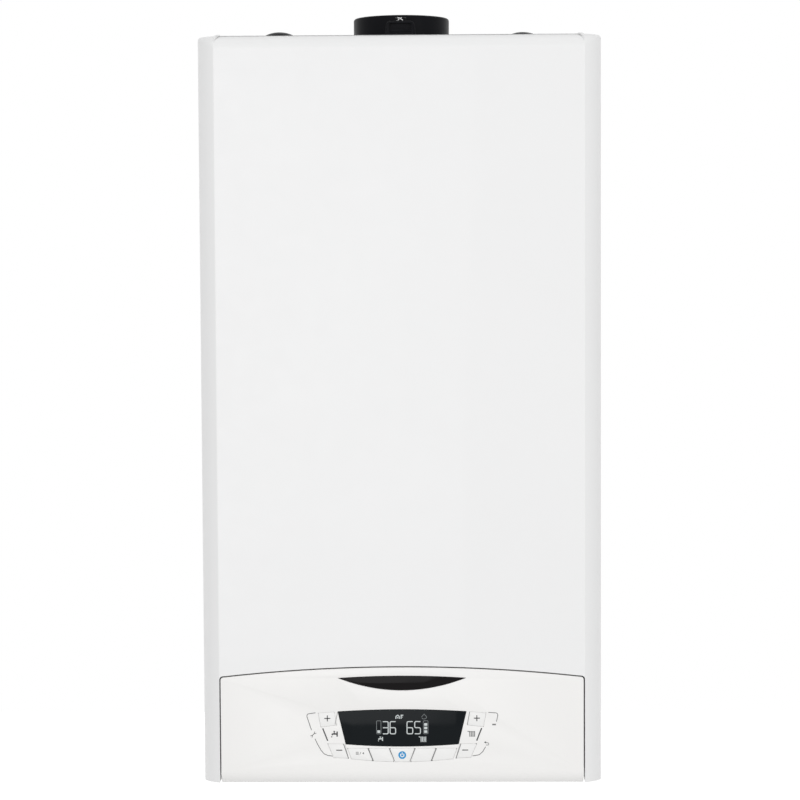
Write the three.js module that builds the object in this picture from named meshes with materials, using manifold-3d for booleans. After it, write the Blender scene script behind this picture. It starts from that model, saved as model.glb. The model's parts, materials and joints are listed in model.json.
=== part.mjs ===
// Wall-hung gas combi boiler, 400 x 745 x 319 mm.
// Frame: millimetres, +X right, -Y to the front, +Z up. The origin is on the back face,
// at the height of the hanging slots' upper edge, midway between them.

import * as THREE from 'three';
import { mergeVertices } from 'three/addons/utils/BufferGeometryUtils.js';
import Module from 'manifold-3d';

const wasm = await Module();
wasm.setup();

// ---------------------------------------------------------------- driving dimensions

const GAP = 0.3; // between separate pieces that rest on or sit in each other

// Casing. Its own coordinates start at the wall (y = 0) and at its bottom edge (z = 0).
const HALF_WIDTH = 200;
const DEPTH = 319;
const HEIGHT = 745;
const HANG_DROP = 45; // hanging slots' upper edge, below the top
const SHEET = 1.2;
const BACK_SHEET = 1.5;
const BASE_SHEET = 1.5;
const BACK_FLANGE = 15; // side panel's inward flange along the wall
const FRONT_FLANGE = 18; // side panel's inward flange behind the cover
const BASE_FRONT_GAP = 76; // base plate's front edge, back from the cover's face
const SLOT_X = 120;
const SLOT_WIDTH = 40;
const SLOT_HEIGHT = 12;

// Front cover.
const COVER_RETURN = 73; // how far its sides and top reach back from its face
const STRIP_WIDTH = 17.7; // angled strip beside the flat face
const STRIP_DEPTH = 26;
const TOP_RADIUS = 14;
const SCREW_RADIUS = 2;
const SCREW_HEAD_RADIUS = 4.5;
const SCREW_HEAD_HEIGHT = 3;
const SCREW_REACH = 10; // beyond the side panel's flange
const SCREW_Z = 22;
const SCREW_CLEARANCE = 0.4;
const TAB_WIDTH = 14;
const TAB_HEIGHT = 30;

// Control panel, which swings forward and down about two pins at its foot.
const FASCIA_SIDE = 19; // its edge, in from the casing's side
const FASCIA_CORNER_Z = 107.9;
const ARCH_RISE = 10.2;
const FASCIA_CORNER_RADIUS = 2.5;
const FASCIA_FOOT_RADIUS = 13.5;
const FASCIA_WALL = 2.2;
const FASCIA_DEPTH = 23;
const SEAM = 1.4; // between fascia and cover
const BOX_SIDE = 50; // electrics box, in from the casing's side
const BOX_WALL = 2;
const BOX_FLOOR_Z = 14;
const BOX_TOP_Z = 96;
const BOX_BACK = 53; // back of the electrics box, behind the cover's face
const HINGE_BACK = 57; // hinge axis, behind the cover's face
const HINGE_Z = 14;
const PIN_RADIUS = 3;
const PIN_CLEARANCE = 0.5;
const EAR_WIDTH = 6;
const EAR_MARGIN = 5;
const BRACKET_PLATE = 3;
const BRACKET_FOOT = 16;
const BRACKET_LENGTH = 28;
const BOARD_BACK = 13; // board's front, behind the cover's face
const BOARD_THICKNESS = 1.6;

// Inset, window and keys of the fascia.
const BADGE_HALF = 64;
const BADGE_TIP_Z = 107.7;
const BADGE_TOP_Z = 109.7;
const BADGE_BOTTOM_Z = 95.2;
const BADGE_THICKNESS = 0.7;
const WINDOW_TOP_HALF = 64.1;
const WINDOW_FOOT_HALF = 56.2;
const WINDOW_TOP_Z = 73.8;
const WINDOW_FOOT_Z = 41;
const WINDOW_TOP_BOW = 2.1;
const WINDOW_FOOT_BOW = 2.3;
const MODULE_MARGIN = 2;
const KEY_GAP = 0.35;
const KEY_THICKNESS = 4;
const KEY_TRAVEL = 0.8;
const STEM_RADIUS = 2;

// Flue collar on the roof, for a 60/100 coaxial flue, and the plugs beside it.
const FLUE_BACK = 171; // flue axis, behind the cover's face
const COLLAR_RADIUS = 50;
const COLLAR_WALL = 3.5;
const COLLAR_FOOT_RADIUS = 57.5;
const COLLAR_FOOT_HEIGHT = 15.5;
const COLLAR_HEIGHT = 30.6;
const COLLAR_SKIRT = 12; // below the roof
const FLUE_RADIUS = 30;
const FLUE_WALL = 2;
const SOCKET_WALL = 2.5;
const SEAL_RADIUS = 28.6;
const SEAL_HEIGHT = 4;
const BOSS_HALF = 16;
const BOSS_REACH = 9; // in front of the collar's foot ring
const CAP_RADIUS = 6;
const CAP_HEIGHT = 5;
const CAP_DROP = 3; // cap's top, below the collar's
const PLUG_X = 127;
const PLUG_BACKS = { left: 150, right: 165 }; // behind the cover's face
const PLUG_DOME_RADIUS = 20.5;
const PLUG_DOME_HEIGHT = 16.4;
const PLUG_FLANGE_RADIUS = 40;
const PLUG_FLANGE_HEIGHT = 4;
const PLUG_SKIRT_RADIUS = 30;
const PLUG_SKIRT_DEPTH = 8;

// Heat exchanger, burner and fan.
const HX_FROM_FAN = 163; // shell's axis, left of the fan's
const HX_DROP = 245; // and below the top
const HX_RADIUS = 108;
const HX_WALL = 10;
const HX_BACK = 94; // its front, behind the cover's face
const HX_LENGTH = 130;
const HX_BRACKET_HALF = 30;
const HX_BRACKET_DROP = 75; // below the top
const HX_BRACKET_THICKNESS = 4;
const HX_DRAIN_BACK = 20; // behind the shell's front
const COIL_RADIUS = 92;
const COIL_BORE = 66;
const COIL_TURNS = 6;
const COIL_PITCH = 17;
const COIL_PINCH = 4; // depth of the groove between two turns
const DOOR_THICKNESS = 14.5;
const DOOR_ARM_HEIGHT = 26;
const DOOR_ARM_DEPTH = 22;
const BURNER_RADIUS = 35;
const BURNER_LENGTH = 90;
const FAN_SIDE = 82; // fan's axis, in from the casing's right side
const FAN_DROP = 185; // and below the top
const FAN_RADIUS = 58;
const FAN_WALL = 6;
const FAN_WIDTH = 54;
const FAN_MOTOR_RADIUS = 35;
const FAN_MOTOR_LENGTH = 38;
const FAN_SHAFT_RADIUS = 3;
const IMPELLER_BLADES = 8;
const MIXER_RADIUS = 30;
const MIXER_BORE = 18;
const MIXER_LENGTH = 42;
const SILENCER_HEIGHT = 80;
const VALVE_HALF = 30;
const VALVE_HEIGHT = 105;
const VALVE_DEPTH = 50;

// Water side.
const VESSEL_HALF = 150;
const VESSEL_DEPTH = 55;
const VESSEL_FOOT_Z = 300;
const VESSEL_DROP = 90; // its top, below the casing's
const PIPE_ROW_BACK = 194; // row of connections, behind the cover's face
const CONNECTION_SIDE = 66; // outermost connection, in from the casing's side
const STUB_REACH = 22; // below the casing
const WATER_PIPE_RADIUS = 8;
const HEATING_PIPE_RADIUS = 11;
const GAS_PIPE_RADIUS = 9;
const GAS_STRAIGHT = 40; // below the gas valve
const PIPE_WALL = 1;
const PIPE_CLEARANCE = 0.8; // round the pipes in the base plate
const PIPE_STEPS = 12;
const PIPE_SIDES = 10;
const NUT_REACH = 3.5;
const NUT_HEIGHT = 12;
const NUT_Z = 6;
const MANIFOLD_HALF = 30;
const MANIFOLD_FOOT_Z = 60;
const MANIFOLD_HEIGHT = 65;
const PLATE_HX_HALF = 78;
const PLATE_HX_DEPTH = 55;
const PLATE_HX_HEIGHT = 80;
const PUMP_RADIUS = 40;
const PUMP_WALL = 8;
const PUMP_LENGTH = 62;
const PUMP_MOTOR_LENGTH = 68;
const PUMP_SHAFT_RADIUS = 3;
const PUMP_RISE = 50; // pump axis above its manifold
const RISER_OFFSET = 40; // of the pipes to the shell, sideways from its axis
const RISER_ENTRY = 4; // how far they reach in beside the shell's curve
const RETURN_STRAIGHTS = [15, 40]; // above the pump and below the shell
const FLOW_STRAIGHTS = [60, 60];
const DIVERTER_RADIUS = 21;
const DIVERTER_LENGTH = 44;
const RELIEF_SIDE = 16; // right of the flow manifold's axis
const RELIEF_RADIUS = 11;
const RELIEF_LENGTH = 34;
const KNOB_RADIUS = 14;
const KNOB_LENGTH = 15;
const SPINDLE_RADIUS = 3;
const FILL_Z = 35;
const TRAP_SIDE = 35; // its axis, in from the casing's left side
const TRAP_CLEARANCE = 1; // behind the hinge bracket
const TRAP_RADIUS = 24;
const TRAP_FOOT_Z = 30;
const TRAP_TOP_Z = 185;
const HOSE_RADIUS = 9;

// Colours, roughness and metalness.
const FINISH = {
  white_steel: [0xeeeeee, 0.35, 0],
  white_plastic: [0xf2f1ef, 0.4, 0],
  black_gloss: [0x14120f, 0.12, 0],
  black_plastic: [0x1b1c20, 0.45, 0],
  grey_steel: [0xa9adb0, 0.4, 0.8],
  stainless: [0xc3c5c7, 0.3, 0.9],
  cast_aluminium: [0xb4b6b8, 0.5, 0.8],
  brass: [0xb9944c, 0.35, 0.9],
  copper: [0xb87248, 0.35, 0.9],
  grey_plastic: [0x5b5f63, 0.55, 0],
  red_paint: [0xa3221c, 0.4, 0],
  black_rubber: [0x17171a, 0.8, 0],
  green_board: [0x1f5a38, 0.6, 0],
  glass_module: [0x2a3338, 0.2, 0],
};

// ---------------------------------------------------------------- derived places

const FRONT = -DEPTH;
const HANG_LINE = HEIGHT - HANG_DROP;
const COVER_BACK = FRONT + COVER_RETURN;
const CREASE_X = HALF_WIDTH - STRIP_WIDTH;
const PANEL_FRONT = COVER_BACK + GAP; // front of the side panels and the roof
const ROOF_Z = HEIGHT - SHEET;
const FLOOR_Z = BASE_SHEET + GAP;
const CEILING_Z = ROOF_Z - GAP;
const BASE_FRONT = FRONT + BASE_FRONT_GAP;
const FLUE_Y = FRONT + FLUE_BACK;
const HINGE_Y = FRONT + HINGE_BACK;
const FASCIA_BACK = FRONT + FASCIA_DEPTH;
const FASCIA_INNER = FRONT + FASCIA_WALL;
const BOX_REAR = FRONT + BOX_BACK;
const PIPE_Y = FRONT + PIPE_ROW_BACK;
const FAN_X = HALF_WIDTH - FAN_SIDE;
const FAN_Z = HEIGHT - FAN_DROP;
const HX_X = FAN_X - HX_FROM_FAN;
const HX_Z = HEIGHT - HX_DROP;
const HX_FRONT = FRONT + HX_BACK;
const HX_REAR = HX_FRONT + HX_LENGTH;
const HX_BRACKET_Z = HEIGHT - HX_BRACKET_DROP;
const DRAIN_X = HX_X - HX_BRACKET_HALF;
const DRAIN_Y = HX_FRONT + HX_DRAIN_BACK;
const FASCIA_HALF = HALF_WIDTH - FASCIA_SIDE;
const BOX_HALF = HALF_WIDTH - BOX_SIDE;
const ARCH_RADIUS = (FASCIA_HALF ** 2 + ARCH_RISE ** 2) / (2 * ARCH_RISE);
const FAN_FRONT = HX_FRONT - DOOR_THICKNESS - DOOR_ARM_DEPTH;
const FAN_REAR = FAN_FRONT + FAN_WIDTH;
const PUMP_Z = MANIFOLD_FOOT_Z + MANIFOLD_HEIGHT + PUMP_RISE;
const PUMP_TOP_Z = PUMP_Z + PUMP_RADIUS + HX_WALL;
const VESSEL_TOP_Z = HEIGHT - VESSEL_DROP;
const PLATE_HX_FRONT = PIPE_Y + MANIFOLD_HALF;
const PLATE_HX_REAR = PLATE_HX_FRONT + PLATE_HX_DEPTH;
const PIPE_PITCH = (HALF_WIDTH - CONNECTION_SIDE) / 2; // five connections in a row
const FLOW_X = -2 * PIPE_PITCH;
const RETURN_X = 2 * PIPE_PITCH;
const FILL_X = (PIPE_PITCH + WATER_PIPE_RADIUS + RETURN_X - HEATING_PIPE_RADIUS) / 2;
const TRAP_X = TRAP_SIDE - HALF_WIDTH;
const TRAP_Y = BASE_FRONT + BRACKET_LENGTH + HOSE_RADIUS + TRAP_CLEARANCE;
const SCREW_X = (CREASE_X + HALF_WIDTH) / 2;

// ---------------------------------------------------------------- solids

const mid = ([from, to]) => (from + to) / 2;
const span = ([from, to]) => to - from;
const SIDES = ['left', 'right'];
const sign = (side) => (side === 'left' ? -1 : 1);

// A closed geometry as a solid that can be joined and cut.
function toSolid(geometry) {
  const bare = geometry.clone();
  bare.deleteAttribute('normal');
  bare.deleteAttribute('uv');
  const merged = mergeVertices(bare, 1e-3);
  return new wasm.Manifold(new wasm.Mesh({
    numProp: 3,
    vertProperties: new Float32Array(merged.attributes.position.array),
    triVerts: new Uint32Array(merged.index.array),
  }));
}

function toGeometry(solid) {
  const mesh = solid.getMesh();
  const geometry = new THREE.BufferGeometry();
  geometry.setAttribute('position', new THREE.BufferAttribute(mesh.vertProperties, mesh.numProp));
  geometry.setIndex(new THREE.BufferAttribute(mesh.triVerts, 1));
  geometry.computeVertexNormals();
  return geometry;
}

const join = (...solids) => solids.reduce((all, next) => all.add(next));
const cut = (whole, ...holes) => holes.reduce((rest, hole) => rest.subtract(hole), whole);

function block(x, y, z) {
  const geometry = new THREE.BoxGeometry(span(x), span(y), span(z));
  return toSolid(geometry.translate(mid(x), mid(y), mid(z)));
}

// Round bar along one axis; centre holds the other two coordinates in X, Y, Z order.
function bar(axis, radius, reach, [u, v], sides = 24) {
  const geometry = new THREE.CylinderGeometry(radius, radius, span(reach), sides);
  const middle = mid(reach);
  if (axis === 'x') return toSolid(geometry.rotateZ(Math.PI / 2).translate(middle, u, v));
  if (axis === 'y') return toSolid(geometry.translate(u, middle, v));
  return toSolid(geometry.rotateX(Math.PI / 2).translate(u, v, middle));
}

const ring = (axis, outer, inner, reach, centre, sides = 24) => cut(
  bar(axis, outer, reach, centre, sides),
  bar(axis, inner, [reach[0] - 1, reach[1] + 1], centre, sides),
);

// A turned piece about Z: points are [radius, height] and start and end on the axis or close.
function turned(points, [x, y], sides = 32) {
  const profile = points.map(([radius, height]) => new THREE.Vector2(radius, height));
  return toSolid(new THREE.LatheGeometry(profile, sides).rotateX(Math.PI / 2).translate(x, y, 0));
}

// A shape drawn in X and Z, as seen from the front, and given a depth along Y.
function faced(shape, y, curveSegments = 12) {
  const geometry = new THREE.ExtrudeGeometry(shape, {
    depth: span(y), bevelEnabled: false, curveSegments,
  });
  return toSolid(geometry.rotateX(Math.PI / 2).translate(0, y[1], 0));
}

// A shape drawn in X and Y, as seen from above, and raised along Z.
function raised(shape, z) {
  const geometry = new THREE.ExtrudeGeometry(shape, { depth: span(z), bevelEnabled: false });
  return toSolid(geometry.translate(0, 0, z[0]));
}

// A shape drawn in Y and Z, as seen from the right, and widened along X.
function widened(shape, x, curveSegments = 8) {
  const geometry = new THREE.ExtrudeGeometry(shape, {
    depth: span(x), bevelEnabled: false, curveSegments,
  });
  const turn = new THREE.Matrix4().makeBasis(
    new THREE.Vector3(0, 1, 0), new THREE.Vector3(0, 0, 1), new THREE.Vector3(1, 0, 0),
  );
  return toSolid(geometry.applyMatrix4(turn).translate(x[0], 0, 0));
}

const shapeOf = (points) => new THREE.Shape(points.map(([u, v]) => new THREE.Vector2(u, v)));

// A round bar swept along smooth points, or a tube where it has a bore.
function swept(points, radius, bore = 0) {
  const path = new THREE.CatmullRomCurve3(
    points.map(([x, y, z]) => new THREE.Vector3(x, y, z)), false, 'catmullrom', 0.3,
  );
  const section = new THREE.Shape().absarc(0, 0, radius, 0, 2 * Math.PI, false);
  if (bore > 0) section.holes.push(new THREE.Path().absarc(0, 0, bore, 0, 2 * Math.PI, true));
  return toSolid(new THREE.ExtrudeGeometry(section, {
    steps: PIPE_STEPS, extrudePath: path, bevelEnabled: false, curveSegments: PIPE_SIDES / 2,
  }));
}

// An outline moved outwards by a distance, for a convex outline that runs anticlockwise.
function grown(points, distance) {
  const lines = points.map(([x, z], i) => {
    const [nextX, nextZ] = points[(i + 1) % points.length];
    const length = Math.hypot(nextX - x, nextZ - z);
    const out = [(nextZ - z) / length, (x - nextX) / length];
    return { out, reach: out[0] * x + out[1] * z + distance };
  });
  return lines.map((line, i) => {
    const before = lines[(i + lines.length - 1) % lines.length];
    const turn = before.out[0] * line.out[1] - before.out[1] * line.out[0];
    return [
      (before.reach * line.out[1] - line.reach * before.out[1]) / turn,
      (line.reach * before.out[0] - before.reach * line.out[0]) / turn,
    ];
  });
}

// ---------------------------------------------------------------- assembly helpers

const boiler = new THREE.Group();
const casing = new THREE.Group(); // in the casing's own coordinates
casing.position.z = -HANG_LINE;
boiler.add(casing);

function place(name, finish, solid) {
  const [color, roughness, metalness] = FINISH[finish];
  const material = new THREE.MeshStandardMaterial({ color, roughness, metalness });
  const mesh = new THREE.Mesh(toGeometry(solid), material);
  mesh.name = name;
  casing.add(mesh);
}

// ---------------------------------------------------------------- casing

function backPanel() {
  const half = HALF_WIDTH - BACK_FLANGE - GAP;
  const slots = [-1, 1].map((side) => block(
    [side * SLOT_X - SLOT_WIDTH / 2, side * SLOT_X + SLOT_WIDTH / 2],
    [-2 * BACK_SHEET, BACK_SHEET],
    [HANG_LINE - SLOT_HEIGHT, HANG_LINE],
  ));
  place('back_panel', 'grey_steel',
    cut(block([-half, half], [-BACK_SHEET, 0], [FLOOR_Z, CEILING_Z]), ...slots));
}

function sidePanel(side) {
  const way = sign(side);
  const range = (a, b) => [way * a, way * b].sort((p, q) => p - q);
  const z = [FLOOR_Z, CEILING_Z];
  const wall = block(range(HALF_WIDTH - SHEET, HALF_WIDTH), [PANEL_FRONT, 0], z);
  const rear = block(range(HALF_WIDTH - BACK_FLANGE, HALF_WIDTH), [-BACK_SHEET, 0], z);
  const front = block(range(HALF_WIDTH - FRONT_FLANGE, HALF_WIDTH), [PANEL_FRONT, PANEL_FRONT + SHEET], z);
  const hole = bar('y', SCREW_RADIUS + SCREW_CLEARANCE, [PANEL_FRONT - 1, PANEL_FRONT + SHEET + 1],
    [way * SCREW_X, SCREW_Z], 12);
  place(`side_panel_${side}`, 'white_steel', cut(join(wall, rear, front), hole));
}

function roofPanel() {
  const flueHole = bar('z', SKIRT_RADIUS + GAP, [ROOF_Z - 1, HEIGHT + 1], [0, FLUE_Y], 32);
  const plugHoles = SIDES.map((side) => bar('z', PLUG_SKIRT_RADIUS + GAP, [ROOF_Z - 1, HEIGHT + 1],
    [sign(side) * PLUG_X, FRONT + PLUG_BACKS[side]], 28));
  place('roof_panel', 'white_steel', cut(
    block([-HALF_WIDTH, HALF_WIDTH], [PANEL_FRONT, 0], [ROOF_Z, HEIGHT]), flueHole, ...plugHoles,
  ));
}

function basePlate() {
  const pipes = [
    [FLOW_X, HEATING_PIPE_RADIUS], [-PIPE_PITCH, WATER_PIPE_RADIUS], [0, GAS_PIPE_RADIUS],
    [PIPE_PITCH, WATER_PIPE_RADIUS], [RETURN_X, HEATING_PIPE_RADIUS],
  ];
  const through = [-1, BASE_SHEET + 1];
  const holes = pipes.map(([x, radius]) => bar('z', radius + PIPE_CLEARANCE, through, [x, PIPE_Y], 20));
  const drain = bar('z', HOSE_RADIUS + GAP, through, [TRAP_X, TRAP_Y], 16);
  place('base_plate', 'grey_steel', cut(
    block([-HALF_WIDTH, HALF_WIDTH], [BASE_FRONT, 0], [0, BASE_SHEET]), ...holes, drain,
  ));
}

function panelHinge(side) {
  const way = sign(side);
  const range = (a, b) => [way * a, way * b].sort((p, q) => p - q);
  const inner = BOX_HALF + EAR_WIDTH + 1;
  const foot = BASE_SHEET + GAP;
  const plate = block(range(inner, inner + BRACKET_PLATE),
    [HINGE_Y - 2 * EAR_MARGIN, BASE_FRONT + BRACKET_LENGTH], [foot, HINGE_Z + 2 * EAR_MARGIN]);
  const sole = block(range(inner, inner + BRACKET_FOOT),
    [BASE_FRONT, BASE_FRONT + BRACKET_LENGTH], [foot, foot + BRACKET_PLATE]);
  const pin = bar('x', PIN_RADIUS, range(BOX_HALF + 1, inner + BRACKET_PLATE), [HINGE_Y, HINGE_Z], 16);
  place(`panel_hinge_${side}`, 'grey_steel', join(plate, sole, pin));
}

// ---------------------------------------------------------------- front cover

// The cover's section from above, moved inwards by a sheet's thickness where asked.
function coverSection(inset, back) {
  const strip = Math.atan2(STRIP_DEPTH, STRIP_WIDTH);
  const side = HALF_WIDTH - inset;
  const bend = FRONT + STRIP_DEPTH + inset * Math.tan((Math.PI / 2 - strip) / 2);
  const crease = CREASE_X - inset * Math.tan(strip / 2);
  const front = FRONT + inset;
  return shapeOf([
    [side, back], [-side, back], [-side, bend], [-crease, front], [crease, front], [side, bend],
  ]);
}

// The cover's section from the side, with its rounded top edge.
function coverProfile(inset, back, foot) {
  const top = HEIGHT - inset;
  const front = FRONT + inset;
  const radius = TOP_RADIUS - inset;
  const shape = new THREE.Shape();
  shape.moveTo(front, foot);
  shape.lineTo(back, foot);
  shape.lineTo(back, top);
  shape.lineTo(front + radius, top);
  shape.absarc(front + radius, top - radius, radius, Math.PI / 2, Math.PI, false);
  return shape;
}

// Top edge of the control panel, a shallow arch.
const archZ = (x) => FASCIA_CORNER_Z + ARCH_RISE - ARCH_RADIUS + Math.sqrt(ARCH_RADIUS ** 2 - x ** 2);

function fasciaOutline(margin, foot) {
  const half = FASCIA_HALF + margin;
  const radius = FASCIA_CORNER_RADIUS + margin;
  const shoulder = half - radius;
  const top = (x) => archZ(Math.min(Math.abs(x), FASCIA_HALF)) + margin;
  const shape = new THREE.Shape();
  shape.moveTo(-half, foot);
  shape.lineTo(half, foot);
  shape.lineTo(half, top(half) - radius);
  shape.quadraticCurveTo(half, top(half), shoulder, top(shoulder));
  const steps = 16;
  for (let i = 1; i <= steps; i += 1) {
    const x = shoulder - (2 * shoulder * i) / steps;
    shape.lineTo(x, top(x));
  }
  shape.quadraticCurveTo(-half, top(half), -half, top(half) - radius);
  return shape;
}

function frontCover() {
  const hollowBack = COVER_BACK + 1;
  const outer = raised(coverSection(0, COVER_BACK), [0, HEIGHT])
    .intersect(widened(coverProfile(0, COVER_BACK, 0), [-HALF_WIDTH, HALF_WIDTH]));
  const inner = raised(coverSection(SHEET, hollowBack), [-1, HEIGHT])
    .intersect(widened(coverProfile(SHEET, hollowBack, -1), [-HALF_WIDTH, HALF_WIDTH]));
  const opening = faced(fasciaOutline(SEAM, -1), [FRONT - 1, FRONT + STRIP_DEPTH], 6);
  const tabs = SIDES.map((side) => {
    const way = sign(side);
    const x = [way * (HALF_WIDTH - TAB_WIDTH), way * (HALF_WIDTH - SHEET / 2)].sort((a, b) => a - b);
    const z = [SCREW_Z - TAB_HEIGHT / 2, SCREW_Z + TAB_HEIGHT / 2];
    const tab = block(x, [COVER_BACK - SHEET, COVER_BACK], z);
    return cut(tab, bar('y', SCREW_RADIUS + SCREW_CLEARANCE, [COVER_BACK - 3, COVER_BACK + 1],
      [way * SCREW_X, SCREW_Z], 12));
  });
  place('front_cover', 'white_steel', join(cut(outer, inner, opening), ...tabs));
}

function coverScrew(side) {
  const centre = [sign(side) * SCREW_X, SCREW_Z];
  const seat = COVER_BACK - SHEET - GAP;
  const head = bar('y', SCREW_HEAD_RADIUS, [seat - SCREW_HEAD_HEIGHT, seat], centre, 16);
  const shank = bar('y', SCREW_RADIUS, [seat - 1, PANEL_FRONT + SHEET + SCREW_REACH], centre, 12);
  const recess = block([centre[0] - SCREW_RADIUS, centre[0] + SCREW_RADIUS],
    [seat - SCREW_HEAD_HEIGHT - 1, seat - SCREW_HEAD_HEIGHT / 2], [SCREW_Z - 0.5, SCREW_Z + 0.5]);
  place(`cover_screw_${side}`, 'grey_steel', cut(join(head, shank), recess));
}

// ---------------------------------------------------------------- control panel

// Keys as seen from the front, anticlockwise, for the right half; the left is its mirror.
const PLUS_KEY = [[65.2, 60.2], [81.2, 58.3], [83.8, 72.4], [67.7, 73.5]];
const MINUS_KEY = [[53.7, 26.8], [68.4, 27.4], [74.6, 41.5], [57.4, 41.1]];
const ROW_KEY_TOP = [12.9, 34.1, 55.2]; // boundaries of the lower row along its top
const ROW_KEY_FOOT = [7.7, 29, 51.4];
const ROW_TOP_Z = 36.8;
const ROW_FOOT_Z = [23.1, 24, 26]; // falls towards the middle
const KEY_SPACE = 0.5; // half of the strip left between neighbouring keys

const mirrored = (points) => points.map(([x, z]) => [-x, z]).reverse();

function rowKey(index) {
  return [
    [ROW_KEY_FOOT[index - 1] + KEY_SPACE, ROW_FOOT_Z[index - 1]],
    [ROW_KEY_FOOT[index] - KEY_SPACE, ROW_FOOT_Z[index]],
    [ROW_KEY_TOP[index] - KEY_SPACE, ROW_TOP_Z],
    [ROW_KEY_TOP[index - 1] + KEY_SPACE, ROW_TOP_Z],
  ];
}

const POWER_KEY = [
  [-ROW_KEY_FOOT[0] + KEY_SPACE, ROW_FOOT_Z[0]], [ROW_KEY_FOOT[0] - KEY_SPACE, ROW_FOOT_Z[0]],
  [ROW_KEY_TOP[0] - KEY_SPACE, ROW_TOP_Z], [-ROW_KEY_TOP[0] + KEY_SPACE, ROW_TOP_Z],
];

const KEYS = {
  key_dhw_up: mirrored(PLUS_KEY),
  key_dhw_down: mirrored(MINUS_KEY),
  key_menu: mirrored(rowKey(2)),
  key_comfort: mirrored(rowKey(1)),
  key_power: POWER_KEY,
  key_auto: rowKey(1),
  key_reset: rowKey(2),
  key_heat_up: PLUS_KEY,
  key_heat_down: MINUS_KEY,
};

function bowedShape(left, right, topZ, topBow, footLeft, footRight, footZ, footBow) {
  const shape = new THREE.Shape();
  shape.moveTo(footLeft, footZ);
  shape.quadraticCurveTo((footLeft + footRight) / 2, footZ - 2 * footBow, footRight, footZ);
  shape.lineTo(right, topZ);
  shape.quadraticCurveTo((left + right) / 2, topZ + 2 * topBow, left, topZ);
  return shape;
}

const windowShape = (margin) => bowedShape(
  -WINDOW_TOP_HALF - margin, WINDOW_TOP_HALF + margin, WINDOW_TOP_Z + margin, WINDOW_TOP_BOW,
  -WINDOW_FOOT_HALF - margin, WINDOW_FOOT_HALF + margin, WINDOW_FOOT_Z - margin, WINDOW_FOOT_BOW,
);

function badgeShape(margin) {
  const half = BADGE_HALF + 2 * margin;
  const shape = new THREE.Shape();
  shape.moveTo(-half, BADGE_TIP_Z);
  shape.quadraticCurveTo(0, 2 * (BADGE_BOTTOM_Z - margin) - BADGE_TIP_Z, half, BADGE_TIP_Z);
  shape.quadraticCurveTo(0, 2 * (BADGE_TOP_Z + margin) - BADGE_TIP_Z, -half, BADGE_TIP_Z);
  return shape;
}

function fasciaProfile(inset, back) {
  const radius = FASCIA_FOOT_RADIUS - inset;
  const front = FRONT + inset;
  const top = FASCIA_CORNER_Z + ARCH_RISE + 1;
  const shape = new THREE.Shape();
  shape.moveTo(back, inset);
  shape.lineTo(back, top);
  shape.lineTo(front, top);
  shape.absarc(front + radius, inset + radius, radius, Math.PI, 1.5 * Math.PI, false);
  return shape;
}

function fascia() {
  const width = [-HALF_WIDTH, HALF_WIDTH];
  const outer = faced(fasciaOutline(0, 0), [FRONT, FASCIA_BACK], 6)
    .intersect(widened(fasciaProfile(0, FASCIA_BACK), width));
  const inner = faced(fasciaOutline(-FASCIA_WALL, FASCIA_WALL), [FASCIA_INNER, FASCIA_BACK + 1], 6)
    .intersect(widened(fasciaProfile(FASCIA_WALL, FASCIA_BACK + 1), width));
  const through = [FRONT - 1, FASCIA_INNER + 1];
  const pocket = faced(badgeShape(GAP), [FRONT - 1, FRONT + BADGE_THICKNESS + GAP], 10);
  const window = faced(windowShape(GAP), through, 8);
  const keyHoles = Object.values(KEYS).map((key) => faced(shapeOf(grown(key, KEY_GAP)), through));
  place('fascia', 'white_plastic', cut(outer, inner, pocket, window, ...keyHoles));
}

function panelInsets() {
  place('badge_insert', 'black_gloss', faced(badgeShape(0), [FRONT, FRONT + BADGE_THICKNESS], 10));
  place('display_lens', 'black_gloss', faced(windowShape(0), [FRONT, FASCIA_INNER], 8));
  const half = WINDOW_FOOT_HALF - MODULE_MARGIN;
  const board = FRONT + BOARD_BACK;
  place('display_module', 'glass_module', block([-half, half], [FASCIA_INNER + GAP, board - GAP],
    [WINDOW_FOOT_Z + MODULE_MARGIN, WINDOW_TOP_Z - MODULE_MARGIN]));
}

function keyCap(name, outline) {
  const centre = outline.reduce(([x, z], [u, v]) => [x + u / outline.length, z + v / outline.length], [0, 0]);
  const cap = faced(shapeOf(outline), [FRONT, FRONT + KEY_THICKNESS]);
  const stemEnd = FRONT + BOARD_BACK - KEY_TRAVEL - GAP;
  const stem = bar('y', STEM_RADIUS, [FRONT + KEY_THICKNESS - 1, stemEnd], centre, 10);
  place(name, 'white_plastic', join(cap, stem));
}

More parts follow.
